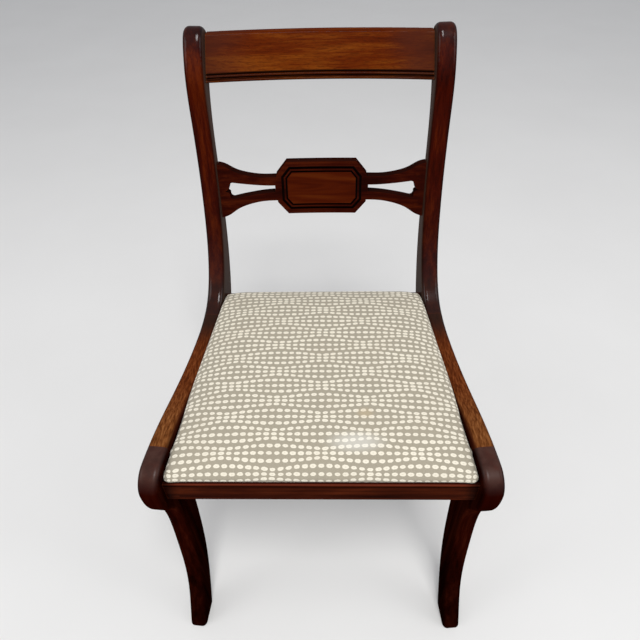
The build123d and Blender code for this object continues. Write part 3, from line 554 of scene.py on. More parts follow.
# %% Cross rail
cross_wood = mahogany("cross_rail_mahogany", "X", (0.012, 0.0012, 0.0004), (0.03, 0.0025, 0.0007),
                      (0.07, 0.0095, 0.0018), shine=0.035)
tree = cross_wood["tree"]
split = cross_wood["split"]
from_end = sum_of(tree, "SUBTRACT", tablet_half_width, sum_of(tree, "ABSOLUTE", split.outputs["X"]))
above = sum_of(tree, "SUBTRACT", split.outputs["Z"], cross_rail_height)
from_top = sum_of(tree, "SUBTRACT", tablet_half_height, sum_of(tree, "ABSOLUTE", above))
cut_length = math.hypot(tablet_cut_width, tablet_cut_height)
from_cut = sum_of(tree, "MULTIPLY_ADD", from_end, tablet_cut_height / cut_length,
                  sum_of(tree, "MULTIPLY_ADD", from_top, tablet_cut_width / cut_length,
                         -tablet_cut_width * tablet_cut_height / cut_length))
from_edge = sum_of(tree, "MINIMUM", from_cut, sum_of(tree, "MINIMUM", from_end, from_top))
facing = cross_wood["facing"]
in_front = ease(tree, facing.outputs["Y"], 0.2, 0.5, 1.0, 0.0)


def groove_band(first, last):
    """1 between two distances from the tablet's edge, on its front, and 0 outside."""
    blur = 0.0006
    begun = ease(tree, from_edge, first - blur, first)
    ended = ease(tree, from_edge, last, last + blur, 1.0, 0.0)
    return sum_of(tree, "MULTIPLY", sum_of(tree, "MULTIPLY", begun, ended), in_front)


inner_start = tablet_border + tablet_groove + tablet_bead
field_start = inner_start + tablet_inner_groove
field = ease(tree, from_edge, field_start, field_start + 0.0005)
lively = cloudy(tree, stretched(tree, cross_wood["along"], (7, 60, 60)), detail=4, distortion=0.9)
field_colour = shades(tree, lively, (0.36, (0.045, 0.0042, 0.0005)), (0.5, (0.066, 0.0075, 0.0008)),
                      (0.66, (0.09, 0.0145, 0.0018)))
cross_colour = tint(tree, field, cross_wood["colour"], field_colour)
# Painted shade: both grooves are nearly black.
tablet_groove_shade = sum_of(tree, "MAXIMUM", groove_band(tablet_border, tablet_border + tablet_groove),
                 groove_band(inner_start, field_start))
cross_colour = tint(tree, sum_of(tree, "MULTIPLY", tablet_groove_shade, 0.85), cross_colour, (0.006, 0.0015, 0.001))
# Painted shade: faces that turn up or down, along the rail's edges and inside the slots, are darker.
painted_up_down_shade = ease(tree, sum_of(tree, "ABSOLUTE", facing.outputs["Z"]), 0.55, 0.85, 0.0, 0.7)
cross_wood["colour"] = tint(tree, painted_up_down_shade, cross_colour, (0.01, 0.0022, 0.0012))
dress(polish(cross_wood), "cross_rail")
print("cross rail polished, tablet field", round(field_start, 4), "m inside its edge")

# %% [markdown]
# Under the seat nothing was polished: the corner blocks, the dowels and the seat's own frame are bare
# pale hardwood, and the screws are plain steel. The mahogany recipe could serve with other colours, but bare
# wood has no coat and no settled polish, so a short recipe of its own is clearer.

# %% Bare wood and steel
plain, tree, shader = new_finish("bare_hardwood")
place = own_place(tree)
rays = cloudy(tree, stretched(tree, place, (26, 300, 300)), detail=3, roughness=0.6)
flecks = ease(tree, cloudy(tree, stretched(tree, place, (220, 1500, 1500)), detail=1), 0.6, 0.72)
plain_colour = shades(tree, rays, (0.35, (0.3, 0.17, 0.085)), (0.5, (0.4, 0.25, 0.13)),
                      (0.66, (0.5, 0.34, 0.19)))
plain_colour = tint(tree, sum_of(tree, "MULTIPLY", flecks, 0.45), plain_colour, (0.2, 0.11, 0.05))
feed(tree, shader.inputs["Base Color"], plain_colour)
feed(tree, shader.inputs["Roughness"], ease(tree, rays, 0.3, 0.7, 0.55, 0.75))
feed(tree, shader.inputs["Normal"], raised(tree, rays, 0.0003, 0.2))
bare_pieces = ["left_front_corner_block", "right_front_corner_block", "left_rear_corner_block",
               "right_rear_corner_block", "seat_front_rail", "seat_rear_rail", "left_seat_side_rail",
               "right_seat_side_rail"]
dress(plain, *bare_pieces, *[name for name in nodes if name.endswith("dowels")])

steel, tree, shader = new_finish("plain_steel")
smears = cloudy(tree, stretched(tree, own_place(tree), (900, 900, 900)), detail=3)
steel_colour = shades(tree, smears, (0.3, (0.2, 0.19, 0.18)), (0.7, (0.42, 0.41, 0.4)))
feed(tree, shader.inputs["Base Color"], steel_colour)
feed(tree, shader.inputs["Roughness"], ease(tree, smears, 0.3, 0.7, 0.28, 0.5))
shader.inputs["Metallic"].default_value = 1
dress(steel, "corner_block_screws")
print("bare wood and steel on", len(bare_pieces), "pieces and the dowels")

# %% [markdown]
# The cover is a woven cloth with rows of pale dots on a greige ground. A picture of the cloth could be laid
# on it. Here the pattern is worked out from the cloth's own flat coordinates, in metres, so it is sharp at
# any distance and follows the cushion over its edges. A little random wobble keeps it from looking printed.

# %% Dotted cloth
pattern_wobble = 0.0022
wobbles_per_metre = 55
pattern_shift = (-0.003, 0.0095)
cloth, tree, shader = new_finish("dotted_cloth")
flat = add_node(tree, "ShaderNodeUVMap", uv_map="cloth").outputs["UV"]
wobble = add_node(tree, "ShaderNodeTexNoise")
wobble.inputs["Scale"].default_value = wobbles_per_metre
feed(tree, wobble.inputs["Vector"], flat)
shift = add_node(tree, "ShaderNodeVectorMath", operation="MULTIPLY_ADD")
feed(tree, shift.inputs[0], wobble.outputs["Color"])
shift.inputs[1].default_value = (pattern_wobble, pattern_wobble, 0)
feed(tree, shift.inputs[2], flat)
split = add_node(tree, "ShaderNodeSeparateXYZ")
feed(tree, split.inputs[0], shift.outputs[0])
across = sum_of(tree, "ADD", split.outputs["X"], pattern_shift[0])
down = sum_of(tree, "ADD", split.outputs["Y"], pattern_shift[1])
print("pattern wobbles by up to", 1000 * pattern_wobble, "mm")

# %% [markdown]
# The rows run across the seat in threes. Each three draw together and spread apart in a slow wave, and the
# next three do the opposite, so the rows fill the cloth. The rows could be drawn one by one as curves. A
# shader works on one point at a time, so each point of the cloth finds the group of three, and the row in it,
# that lie nearest.

# %% Rows in threes
group_pitch = 0.02735
pinch_gap = 0.0054
bulge_gain = 0.0052
wave_length = 0.131
pinch_softness = 0.015
wave = sum_of(tree, "MULTIPLY", across, math.pi / wave_length)


def row_gap(kind):
    """Space between the rows of a group: tight at the pinches, wide between them."""
    turned = sum_of(tree, kind, wave)
    softened = sum_of(tree, "SQRT", sum_of(tree, "MULTIPLY_ADD", turned, turned, pinch_softness))
    return sum_of(tree, "MULTIPLY_ADD", softened, bulge_gain, pinch_gap)


def from_group(shift_by):
    """Distance from the nearest group of three of one kind, and that group's number."""
    moved = sum_of(tree, "SUBTRACT", down, shift_by)
    number = sum_of(tree, "ROUND", sum_of(tree, "DIVIDE", moved, 2 * group_pitch))
    return sum_of(tree, "MULTIPLY_ADD", number, -2 * group_pitch, moved), number


even_off, even_number = from_group(0.0)
odd_off, odd_number = from_group(group_pitch)
even_gap = row_gap("COSINE")
odd_gap = row_gap("SINE")
gap_difference = sum_of(tree, "SUBTRACT", even_gap, odd_gap)
even_half = sum_of(tree, "MULTIPLY", sum_of(tree, "ADD", gap_difference, group_pitch), 0.5)
in_even = sum_of(tree, "LESS_THAN", sum_of(tree, "ABSOLUTE", even_off), even_half)
in_odd = sum_of(tree, "SUBTRACT", 1.0, in_even)


def of_kind(even_value, odd_value):
    """The even value inside an even group, and the odd one elsewhere."""
    even_part = sum_of(tree, "MULTIPLY", in_even, even_value)
    odd_part = sum_of(tree, "MULTIPLY", in_odd, odd_value)
    return sum_of(tree, "ADD", even_part, odd_part)


off = of_kind(even_off, odd_off)
gap = of_kind(even_gap, odd_gap)
nearest_row = sum_of(tree, "ROUND", sum_of(tree, "DIVIDE", off, gap))
row = sum_of(tree, "MAXIMUM", sum_of(tree, "MINIMUM", nearest_row, 1.0), -1.0)
row_off = sum_of(tree, "SUBTRACT", off, sum_of(tree, "MULTIPLY", row, gap))
group_number = of_kind(sum_of(tree, "MULTIPLY", even_number, 6.0),
                       sum_of(tree, "MULTIPLY_ADD", odd_number, 6.0, 3.0))
row_number = sum_of(tree, "ADD", group_number, row)
print("groups of three rows every", round(1000 * group_pitch, 1), "mm")

# %% [markdown]
# Along a row the dots are short and slightly square, each a little different in size, and their edges are
# ragged, as woven dots are. They could be small meshes laid on the cloth, but woven dots have no thickness
# to speak of. A distance that is 1 on the dot's edge gives the dot, its soft rim and its duller middle.

# %% Dots
dot_pitch = 0.0106
dot_half_length = 0.0041
dot_half_height = 0.0026
dot_squareness = 2.2
dot_sizes = (0.93, 1.08)
pinch_squeeze = 0.9
row_slide = 0.1
raggedness = 0.36
row_start = add_node(tree, "ShaderNodeTexWhiteNoise", noise_dimensions="1D")
feed(tree, row_start.inputs["W"], row_number)
slid = sum_of(tree, "MULTIPLY_ADD", in_odd, 0.5 * dot_pitch, across)
slid = sum_of(tree, "MULTIPLY_ADD", row_start.outputs["Value"], row_slide * dot_pitch, slid)
dot_number = sum_of(tree, "ROUND", sum_of(tree, "DIVIDE", slid, dot_pitch))
dot_off = sum_of(tree, "MULTIPLY_ADD", dot_number, -dot_pitch, slid)
dot_key = add_node(tree, "ShaderNodeCombineXYZ")
feed(tree, dot_key.inputs[0], dot_number)
feed(tree, dot_key.inputs[1], row_number)
dot_luck = add_node(tree, "ShaderNodeTexWhiteNoise", noise_dimensions="3D")
feed(tree, dot_luck.inputs["Vector"], dot_key.outputs[0])
dot_size = ease(tree, dot_luck.outputs["Value"], 0.0, 1.0, *dot_sizes)
squeeze = ease(tree, gap, pinch_gap, pinch_gap + bulge_gain, pinch_squeeze, 1.0)
dot_tall = sum_of(tree, "MULTIPLY", squeeze, dot_half_height)
long_way = sum_of(tree, "DIVIDE", dot_off, sum_of(tree, "MULTIPLY", dot_size, dot_half_length))
high_way = sum_of(tree, "DIVIDE", row_off, sum_of(tree, "MULTIPLY", dot_size, dot_tall))
long_part = sum_of(tree, "POWER", sum_of(tree, "ABSOLUTE", long_way), dot_squareness)
high_part = sum_of(tree, "POWER", sum_of(tree, "ABSOLUTE", high_way), dot_squareness)
round_off = sum_of(tree, "SQRT", sum_of(tree, "ADD", long_part, high_part))
ragged_edge = cloudy(tree, stretched(tree, flat, (420, 420, 1)), detail=1)
round_off = sum_of(tree, "SUBTRACT", round_off, raggedness / 2)
round_off = sum_of(tree, "MULTIPLY_ADD", ragged_edge, raggedness, round_off)
dot = ease(tree, round_off, 0.84, 1.1, 1.0, 0.0)
print("dots of", round(2000 * dot_half_length, 1), "by", round(2000 * dot_half_height, 1), "mm")

# %% [markdown]
# Close up, the cloth is a plain weave: threads over and under, a little uneven in colour. The dots are
# woven in a thicker pale yarn, so they stand slightly proud. Use has soiled the cloth in patches and left
# two faint marks. Real threads would need millions of faces, so two crossed sine waves tilt the surface.

# %% Weave, yarn and wear of the cloth
thread = 0.0009
warp = sum_of(tree, "SINE", sum_of(tree, "MULTIPLY", across, 2 * math.pi / thread))
weft = sum_of(tree, "SINE", sum_of(tree, "MULTIPLY", down, 2 * math.pi / thread))
weave = sum_of(tree, "MULTIPLY", warp, weft)
yarn = cloudy(tree, stretched(tree, flat, (500, 1500, 1)), detail=2)
soil = cloudy(tree, stretched(tree, flat, (16, 16, 1)), detail=3, roughness=0.6)
ground = shades(tree, yarn, (0.3, (0.34, 0.301, 0.228)), (0.7, (0.425, 0.38, 0.294)))
pale = shades(tree, yarn, (0.3, (0.78, 0.72, 0.585)), (0.7, (0.9, 0.835, 0.69)))
dot_middle = ease(tree, round_off, 0.14, 0.36, 0.22, 0.0)
cloth_colour = tint(tree, sum_of(tree, "SUBTRACT", dot, dot_middle), ground, pale)
cloth_colour = tint(tree, ease(tree, soil, 0.45, 0.75, 0.0, 0.12), cloth_colour, (0.45, 0.37, 0.27))


def mark(middle, half_sizes, strength):
    """Soft mark left by use: full strength at its middle, 0 past its half sizes."""
    moved = stretched(tree, flat, (1 / half_sizes[0], 1 / half_sizes[1], 0))
    from_middle = add_node(tree, "ShaderNodeVectorMath", operation="DISTANCE")
    feed(tree, from_middle.inputs[0], moved)
    from_middle.inputs[1].default_value = (middle[0] / half_sizes[0], middle[1] / half_sizes[1], 0)
    return ease(tree, from_middle.outputs["Value"], 0.2, 1.0, strength, 0.0)


cloth_colour = tint(tree, mark((0.048, -0.186), (0.05, 0.02), 0.4), cloth_colour, (0.86, 0.85, 0.79))
cloth_colour = tint(tree, mark((0.062, -0.141), (0.016, 0.012), 0.3), cloth_colour, (0.62, 0.46, 0.25))
feed(tree, shader.inputs["Base Color"], cloth_colour)
relief = sum_of(tree, "MULTIPLY_ADD", dot, 1.2, sum_of(tree, "MULTIPLY", weave, 0.35))
feed(tree, shader.inputs["Normal"], raised(tree, relief, 0.00025, 0.45))
shader.inputs["Roughness"].default_value = 0.92
shader.inputs["Sheen Weight"].default_value = 0.15
shader.inputs["Sheen Roughness"].default_value = 0.5
shader.inputs["Specular IOR Level"].default_value = 0.25
print("cloth woven with", round(1000 * thread, 2), "mm threads")

# %% [markdown]
# The cushion is one skin of cloth: a crowned top, a low wall that goes down into the frame, and a hem
# turned under the seat's wooden frame. A cube could be subdivided and pushed into shape, but its faces would
# not follow the threads. So the skin is laid out as a grid inside the seat's outline, and these helpers walk
# along that outline: round its corners, and in steps that lie closer together at its ends.


# %% Points along the seat's outline
def corner_arc(before, corner, after, radius, steps):
    """Points of a rounded corner between two straight sides."""
    to_before = (before - corner).normalized()
    to_after = (after - corner).normalized()
    half_angle = math.acos(max(-1, min(1, to_before.dot(to_after)))) / 2
    centre = corner + (to_before + to_after).normalized() * radius / math.sin(half_angle)
    start = corner + to_before * radius / math.tan(half_angle) - centre
    end = corner + to_after * radius / math.tan(half_angle) - centre
    points = []
    for step in range(steps + 1):
        mixed = start.lerp(end, step / steps)
        points.append(centre + mixed.normalized() * radius)
    return points


def even_points(line, marks):
    """Points at given shares of a polyline's length."""
    lengths = [0.0]
    for first, second in zip(line, line[1:]):
        lengths.append(lengths[-1] + (second - first).length)
    points = []
    for mark in marks:
        wanted = mark * lengths[-1]
        index = next(i for i in range(1, len(line)) if lengths[i] >= wanted - 1e-9)
        part = (wanted - lengths[index - 1]) / (lengths[index] - lengths[index - 1])
        points.append(line[index - 1].lerp(line[index], part))
    return points


def packed_marks(count, packing):
    """Shares from 0 to 1 that lie closer together at both ends."""
    marks = []
    for step in range(count + 1):
        share = step / count
        marks.append(share - packing * math.sin(2 * math.pi * share) / (2 * math.pi))
    return marks


print("outline helpers ready")

# %% [markdown]
# The grid spans the four sides of the outline: each point is mixed from the outline's points to its left and
# right, in front and behind, and from the four corners. A Grid mesh would be square, while this one follows
# the splayed sides and the rounded corners. The dust cloth below uses it too.


# %% A grid inside the seat's outline
def seat_patch(inset, front_radius, rear_radius, wide, deep, packing):
    """Grid of flat points that fills the seat's outline, drawn in by an inset, row by row from the front."""
    front = seat_front + inset
    rear = seat_rear - inset
    front_half = opening_half(front) - seat_side_gap - inset
    rear_half = opening_half(rear) - seat_side_gap - inset
    corners = [Vector((-front_half, front)), Vector((front_half, front)),
               Vector((rear_half, rear)), Vector((-rear_half, rear))]
    arc_steps = 12
    arcs = []
    for index, radius in enumerate((front_radius, front_radius, rear_radius, rear_radius)):
        after = corners[(index + 1) % 4]
        arcs.append(corner_arc(corners[index - 1], corners[index], after, radius, arc_steps))
    sides = []
    for index in range(4):
        following = arcs[(index + 1) % 4]
        sides.append(arcs[index][arc_steps // 2:] + following[:arc_steps // 2 + 1])
    wide_marks = packed_marks(wide, packing)
    deep_marks = packed_marks(deep, packing)
    front_line = even_points(sides[0], wide_marks)
    right_line = even_points(sides[1], deep_marks)
    rear_line = even_points(list(reversed(sides[2])), wide_marks)
    left_line = even_points(list(reversed(sides[3])), deep_marks)
    rows = []
    for j, v in enumerate(deep_marks):
        row = []
        for i, u in enumerate(wide_marks):
            ruled = front_line[i] * (1 - v) + rear_line[i] * v + left_line[j] * (1 - u) + right_line[j] * u
            corner_mix = (front_line[0] * (1 - u) + front_line[-1] * u) * (1 - v)
            corner_mix += (rear_line[0] * (1 - u) + rear_line[-1] * u) * v
            row.append(ruled - corner_mix)
        rows.append(row)
    return rows


def border_of(wide, deep):
    """Grid places round a patch's edge, anticlockwise from the front left."""
    places = [(i, 0) for i in range(wide)]
    places += [(wide, j) for j in range(deep)]
    places += [(i, deep) for i in range(wide, 0, -1)]
    places += [(0, j) for j in range(deep, 0, -1)]
    return places


front_patch_width = 2 * (opening_half(seat_front) - seat_side_gap)
print("seat outline:", round(front_patch_width, 4), "m wide in front and", seat_depth, "m deep")

# %% [markdown]
# The top is a low crown that rises quickly from the edge and then flattens, as stuffing under a tight cloth
# does. It could come from the simulation alone, but that would take many more steps. So the crown starts a
# little flatter than the finished one, and its edge dips where the posts press on the rear corners.

# %% The cushion's crown
skin_wide = 78
skin_deep = 70
wall_top = 0.4365
wall_fall = 0.0036
rear_corner_dip = 0.007
rear_corner_reach = 0.045
start_crown = 0.0125
crown_reach = 0.11
crown_squareness = 4
grid_packing = 0.55
top_corners = (0.016, 0.014)
low_corners = (0.009, 0.012)
top_rows = seat_patch(0.0, *top_corners, skin_wide, skin_deep, grid_packing)
low_rows = seat_patch(0.0, *low_corners, skin_wide, skin_deep, grid_packing)
border = border_of(skin_wide, skin_deep)


def swell_profile(distance):
    """Rise of the crown from 0 at the edge to 1 at its reach."""
    share = max(0.0, min(1.0, distance / crown_reach))
    return math.sqrt(1 - (1 - share) ** 2)


def crown_rise(point):
    """Rise of the crown over a flat point, from 0 at the seat's edge to 1."""
    from_side = (opening_half(point.y) - seat_side_gap - abs(point.x)) * math.cos(splay)
    from_end = min(point.y - seat_front, seat_rear - point.y)
    rises = [max(swell_profile(distance), 1e-4) for distance in (from_side, from_end)]
    return sum(rise ** -crown_squareness for rise in rises) ** (-1 / crown_squareness)


def wall_drop(point):
    """How much lower the cushion's edge lies at a depth than at the front."""
    backward = max(0.0, min(1.0, (point.y - seat_front) / seat_depth))
    from_corner = math.hypot(opening_half(seat_rear) - abs(point.x), seat_rear - point.y)
    near_corner = max(0.0, 1 - from_corner / rear_corner_reach)
    return wall_fall * backward + rear_corner_dip * near_corner ** 2


positions = []
place_index = {}
for j, row in enumerate(top_rows):
    for i, point in enumerate(row):
        place_index[(i, j)] = len(positions)
        level = wall_top - wall_drop(point) + start_crown * crown_rise(point)
        positions.append(Vector((point.x, point.y, level)))
print("crown:", len(positions), "points, up to", round(max(point.z for point in positions), 4), "m")

# %% [markdown]
# The wall swells sideways just above the side rails, where nothing holds the stuffing in. Below that, it and
# the hem keep to the wood. An Extrude would give a straight wall. Rings of points, each with its own level
# and its own share of the swell, give the wall its bellied section.

# %% The cushion's wall and hem
side_swell = 0.0072
rear_side_swell = 0.001
front_swell = 0.0042
rear_swell = 0.0016
hem_lift = 0.0003
hem_width = 0.026
outward = []
for index in range(len(border)):
    next_i, next_j = border[(index + 1) % len(border)]
    last_i, last_j = border[index - 1]
    along_edge = (top_rows[next_j][next_i] - top_rows[last_j][last_i]).normalized()
    outward.append(Vector((along_edge.y, -along_edge.x)))

hem_level = ledge_height + hem_lift
wall_levels = [0.433, 0.4285, 0.4235, 0.418, 0.412, hem_level + 0.003, hem_level]
side_shares = [1.0, 0.9, 0.6, 0.2, 0.0, 0.0, -0.25]
front_shares = [1.0, 0.75, 0.1, 0.0, 0.0, 0.0, -0.1]
low_shares = [0.0, 0.45, 1.0, 1.0, 1.0, 1.0, 1.0]
hem_steps = [0.003, 0.009, 0.017, hem_width]
rings = [[place_index[place] for place in border]]
for level, side_share, front_share, low_share in zip(wall_levels, side_shares, front_shares, low_shares):
    ring = []
    for (i, j), way in zip(border, outward):
        point = top_rows[j][i].lerp(low_rows[j][i], low_share)
        backward = (point.y - seat_front) / seat_depth
        sideways = side_swell + (rear_side_swell - side_swell) * backward
        if way.y < 0:
            lengthways = front_swell * front_share
        else:
            lengthways = rear_swell * side_share
        spot = point + way * (sideways * side_share * abs(way.x) + lengthways * abs(way.y))
        level_share = (level - ledge_height) / (wall_top - ledge_height)
        ring.append(len(positions))
        positions.append(Vector((spot.x, spot.y, level - wall_drop(point) * level_share)))
    rings.append(ring)
for step in hem_steps:
    ring = []
    for (i, j), way in zip(border, outward):
        point = low_rows[j][i]
        spot = point - way * step
        ring.append(len(positions))
        positions.append(Vector((spot.x, spot.y, hem_level)))
    rings.append(ring)
print("wall and hem:", len(rings) - 1, "rings of", len(border), "points")

# %% [markdown]
# The grid and the rings become one mesh of four-sided faces, in the order of the threads. A remesh would
# also join them, but it would lose that order, which the pattern and the simulation need.

# %% Join the skin
faces = []
for j in range(skin_deep):
    for i in range(skin_wide):
        around = [(i, j), (i + 1, j), (i + 1, j + 1), (i, j + 1)]
        faces.append([place_index[place] for place in around])
for upper, lower in zip(rings, rings[1:]):
    for k in range(len(upper)):
        following = (k + 1) % len(upper)
        faces.append((upper[k], lower[k], lower[following], upper[following]))

skin_mesh = bpy.data.meshes.new("seat_cushion")
skin_mesh.from_pydata(positions, [], faces)
cushion = bpy.data.objects.new("seat_cushion", skin_mesh)
scene.collection.objects.link(cushion)
skin_mesh.materials.append(cloth)
print("skin:", len(positions), "points,", len(faces), "faces")

# %% [markdown]
# Stuffing fills the cover until the cloth is tight. A sculpted shape could look like it, but the cloth's own
# stretch gives the right softness. The simulation blows the skin up with a light pressure and no weight,
# with the hem and the lower wall pinned. No point may then have moved further than stuffing would push it.

# %% Stuff the cushion
simulated_frames = 20
stuffing_cap = 0.009
settling_turns = 90
pinned_levels = 4
loose_hold = 0.6
hold = cushion.vertex_groups.new(name="hold")
held = [index for ring in rings[pinned_levels:] for index in ring]
hold.add(held, 1.0, "REPLACE")
for level in range(pinned_levels):
    hold.add(rings[level], (level + 1) / (pinned_levels + 1) * loose_hold, "REPLACE")
simulation = cushion.modifiers.new("stuffing", "CLOTH")
settings = simulation.settings
settings.quality = 6
settings.mass = 0.25
settings.tension_stiffness = 18
settings.compression_stiffness = 18
settings.shear_stiffness = 8
settings.bending_stiffness = 1.5
settings.air_damping = 3
settings.vertex_group_mass = "hold"
settings.use_pressure = True
settings.uniform_pressure_force = 4.0
settings.effector_weights.gravity = 0
simulation.collision_settings.use_collision = False
for step in range(1, simulated_frames + 1):
    scene.frame_set(step)
stuffed = cushion.evaluated_get(bpy.context.evaluated_depsgraph_get())
moved_points = [v.co.copy() for v in stuffed.data.vertices]
cushion.modifiers.remove(simulation)
scene.frame_set(1)
pushes = np.array([moved - vertex.co for vertex, moved in zip(skin_mesh.vertices, moved_points)])
reaches = np.linalg.norm(pushes, axis=1)
furthest = reaches.max()
pushes *= np.minimum(1.0, stuffing_cap / np.maximum(reaches, 1e-9))[:, None]
top_count = (skin_wide + 1) * (skin_deep + 1)
top_push = pushes[:top_count].reshape(skin_deep + 1, skin_wide + 1, 3)
for turn in range(settling_turns):
    around = top_push[:-2, 1:-1] + top_push[2:, 1:-1] + top_push[1:-1, :-2] + top_push[1:-1, 2:]
    top_push[1:-1, 1:-1] = around / 4
for vertex, push in zip(skin_mesh.vertices, pushes):
    vertex.co = vertex.co + Vector(push)
print("stuffing moved the cloth by up to", round(1000 * float(furthest), 1), "mm")

# %% [markdown]
# The cushion lies against the rails, the posts and the front legs. The simulation could collide with them,
# but it is slow and jumps at thin pieces. So any point that met the wood is set back on its surface. Along
# an edge the points beside those follow them a little, so the edge keeps a smooth line.

# %% Set the cloth back on the wood
wood_clearance = 0.0006
wood_search = 0.012
easing_turns = 12
wood_names = ["left_side_rail", "right_side_rail", "left_front_leg", "right_front_leg", "left_back_post",
              "right_back_post", "front_rail", "rear_rail"]
wood_trees = []
for name in wood_names:
    shape = bmesh.new()
    shape.from_mesh(nodes[name].data)
    bmesh.ops.remove_doubles(shape, verts=shape.verts, dist=1e-6)
    wood_trees.append(BVHTree.FromBMesh(shape))
    shape.free()
set_back = 0
blown = np.array([vertex.co for vertex in skin_mesh.vertices])
for vertex in skin_mesh.vertices:
    for wood_tree in wood_trees:
        spot, direction = wood_tree.find_nearest(vertex.co, wood_search)[:2]
        if spot is not None and (vertex.co - spot).dot(direction) < wood_clearance:
            vertex.co = spot + direction * wood_clearance
            set_back += 1
shifts = np.array([vertex.co for vertex in skin_mesh.vertices]) - blown
for ring in rings[:pinned_levels]:
    own = shifts[ring]
    eased = own.copy()
    for turn in range(easing_turns):
        eased = (np.roll(eased, 1, axis=0) + 2 * eased + np.roll(eased, -1, axis=0)) / 4
    stronger = np.linalg.norm(eased, axis=1) > np.linalg.norm(own, axis=1)
    for index, shift in zip(np.array(ring)[stronger], eased[stronger]):
        skin_mesh.vertices[index].co = blown[index] + shift
highest = max(vertex.co.z for vertex in skin_mesh.vertices)
print("points set back on the wood:", set_back, "highest point:", round(highest, 4))

# %% [markdown]
# The pattern needs flat coordinates that keep the cloth's true lengths over the crown and the walls. An
# unwrap would give some, but turned and scaled as it likes. Here they are summed along the grid's lines,
# outwards from the middle of the top, and then down the walls.

# %% Flat coordinates of the cloth
skin_points = np.array([vertex.co for vertex in skin_mesh.vertices])
top = skin_points[:(skin_wide + 1) * (skin_deep + 1)].reshape(skin_deep + 1, skin_wide + 1, 3)
middle_column = skin_wide // 2
middle_row = skin_deep // 2


def lengths_from(line, axis, middle):
    """Signed lengths along a line of points, seen across one axis, that start at its middle point."""
    steps = np.hypot(np.diff(line[:, axis]), np.diff(line[:, 2]))
    sums = np.concatenate([[0.0], np.cumsum(steps)])
    return sums - sums[middle] + line[middle, axis]


flat_x = np.array([lengths_from(top[j], 0, middle_column) for j in range(skin_deep + 1)])
flat_y = np.array([lengths_from(top[:, i], 1, middle_row) for i in range(skin_wide + 1)]).T
flat_places = np.zeros((len(skin_points), 2))
flat_places[:len(flat_x.ravel()), 0] = flat_x.ravel()
flat_places[:len(flat_y.ravel()), 1] = flat_y.ravel()
for upper, lower in zip(rings, rings[1:]):
    for k, way in enumerate(outward):
        length = np.linalg.norm(skin_points[lower[k]] - skin_points[upper[k]])
        flat_places[lower[k]] = flat_places[upper[k]] + np.array(way) * length
cloth_map = skin_mesh.uv_layers.new(name="cloth")
for loop in skin_mesh.loops:
    cloth_map.data[loop.index].uv = flat_places[loop.vertex_index]
print("flat cloth top:", round(1000 * float(np.ptp(flat_x))), "by", round(1000 * float(np.ptp(flat_y))), "mm")

# %% [markdown]
# The cloth gets its thickness and one round of smoothing. A finer grid would do as well, but it would slow
# the simulation. The cushion stands for the cover and for the layers inside it, and rides on the loose seat.

# %% Finish the cushion
cloth_thickness = 0.0012
smooth = cushion.modifiers.new("smooth", "SUBSURF")
smooth.levels = 1
smooth.render_levels = 1
thick = cushion.modifiers.new("thick", "SOLIDIFY")
thick.thickness = cloth_thickness
thick.offset = -1
for polygon in skin_mesh.polygons:
    polygon.use_smooth = True
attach(cushion, "seat")
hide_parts("seat_cover", "seat_pad", "seat_hessian", "seat_webbing")
print("cushion done")

# %% [markdown]
# A thin black dust cloth closes the seat from below. It is stretched inside the hem and tacked to the
# wood, and sags a little in the middle. A simulation could let it sag, but it is nearly taut, so two sine
# waves are enough. Its grid is made like the cushion's, drawn in by an inset.

# %% Dust cloth
dust_inset = 0.0263
dust_height = ledge_height + 0.0009
dust_sag = 0.002
dust_wide = 40
dust_deep = 36
dust_corners = (0.014, 0.012)
dust_packing = 0.3
dust_thickness = 0.0005
dust_rows = seat_patch(dust_inset, *dust_corners, dust_wide, dust_deep, dust_packing)
dust_points = []
for j, row in enumerate(dust_rows):
    for i, point in enumerate(row):
        hang = math.sin(math.pi * i / dust_wide) * math.sin(math.pi * j / dust_deep)
        dust_points.append((point.x, point.y, dust_height - dust_sag * hang ** 2))
dust_faces = []
for j in range(dust_deep):
    for i in range(dust_wide):
        first = j * (dust_wide + 1) + i
        dust_faces.append((first, first + dust_wide + 1, first + dust_wide + 2, first + 1))
dust_mesh = bpy.data.meshes.new("dust_cloth")
dust_mesh.from_pydata(dust_points, [], dust_faces)
dust_map = dust_mesh.uv_layers.new(name="cloth")
for loop in dust_mesh.loops:
    dust_map.data[loop.index].uv = dust_points[loop.vertex_index][:2]
dust_cloth = bpy.data.objects.new("dust_cloth", dust_mesh)
scene.collection.objects.link(dust_cloth)
for polygon in dust_mesh.polygons:
    polygon.use_smooth = True
thick = dust_cloth.modifiers.new("thick", "SOLIDIFY")
thick.thickness = dust_thickness
thick.offset = 0
print("dust cloth laid with", len(dust_faces), "faces")

# %% [markdown]
# The dust cloth is black cambric, a thin cotton with a plain weave and some lint on it. A plain black would
# look like a hole, so the weave tilts the surface and the lint lightens it.

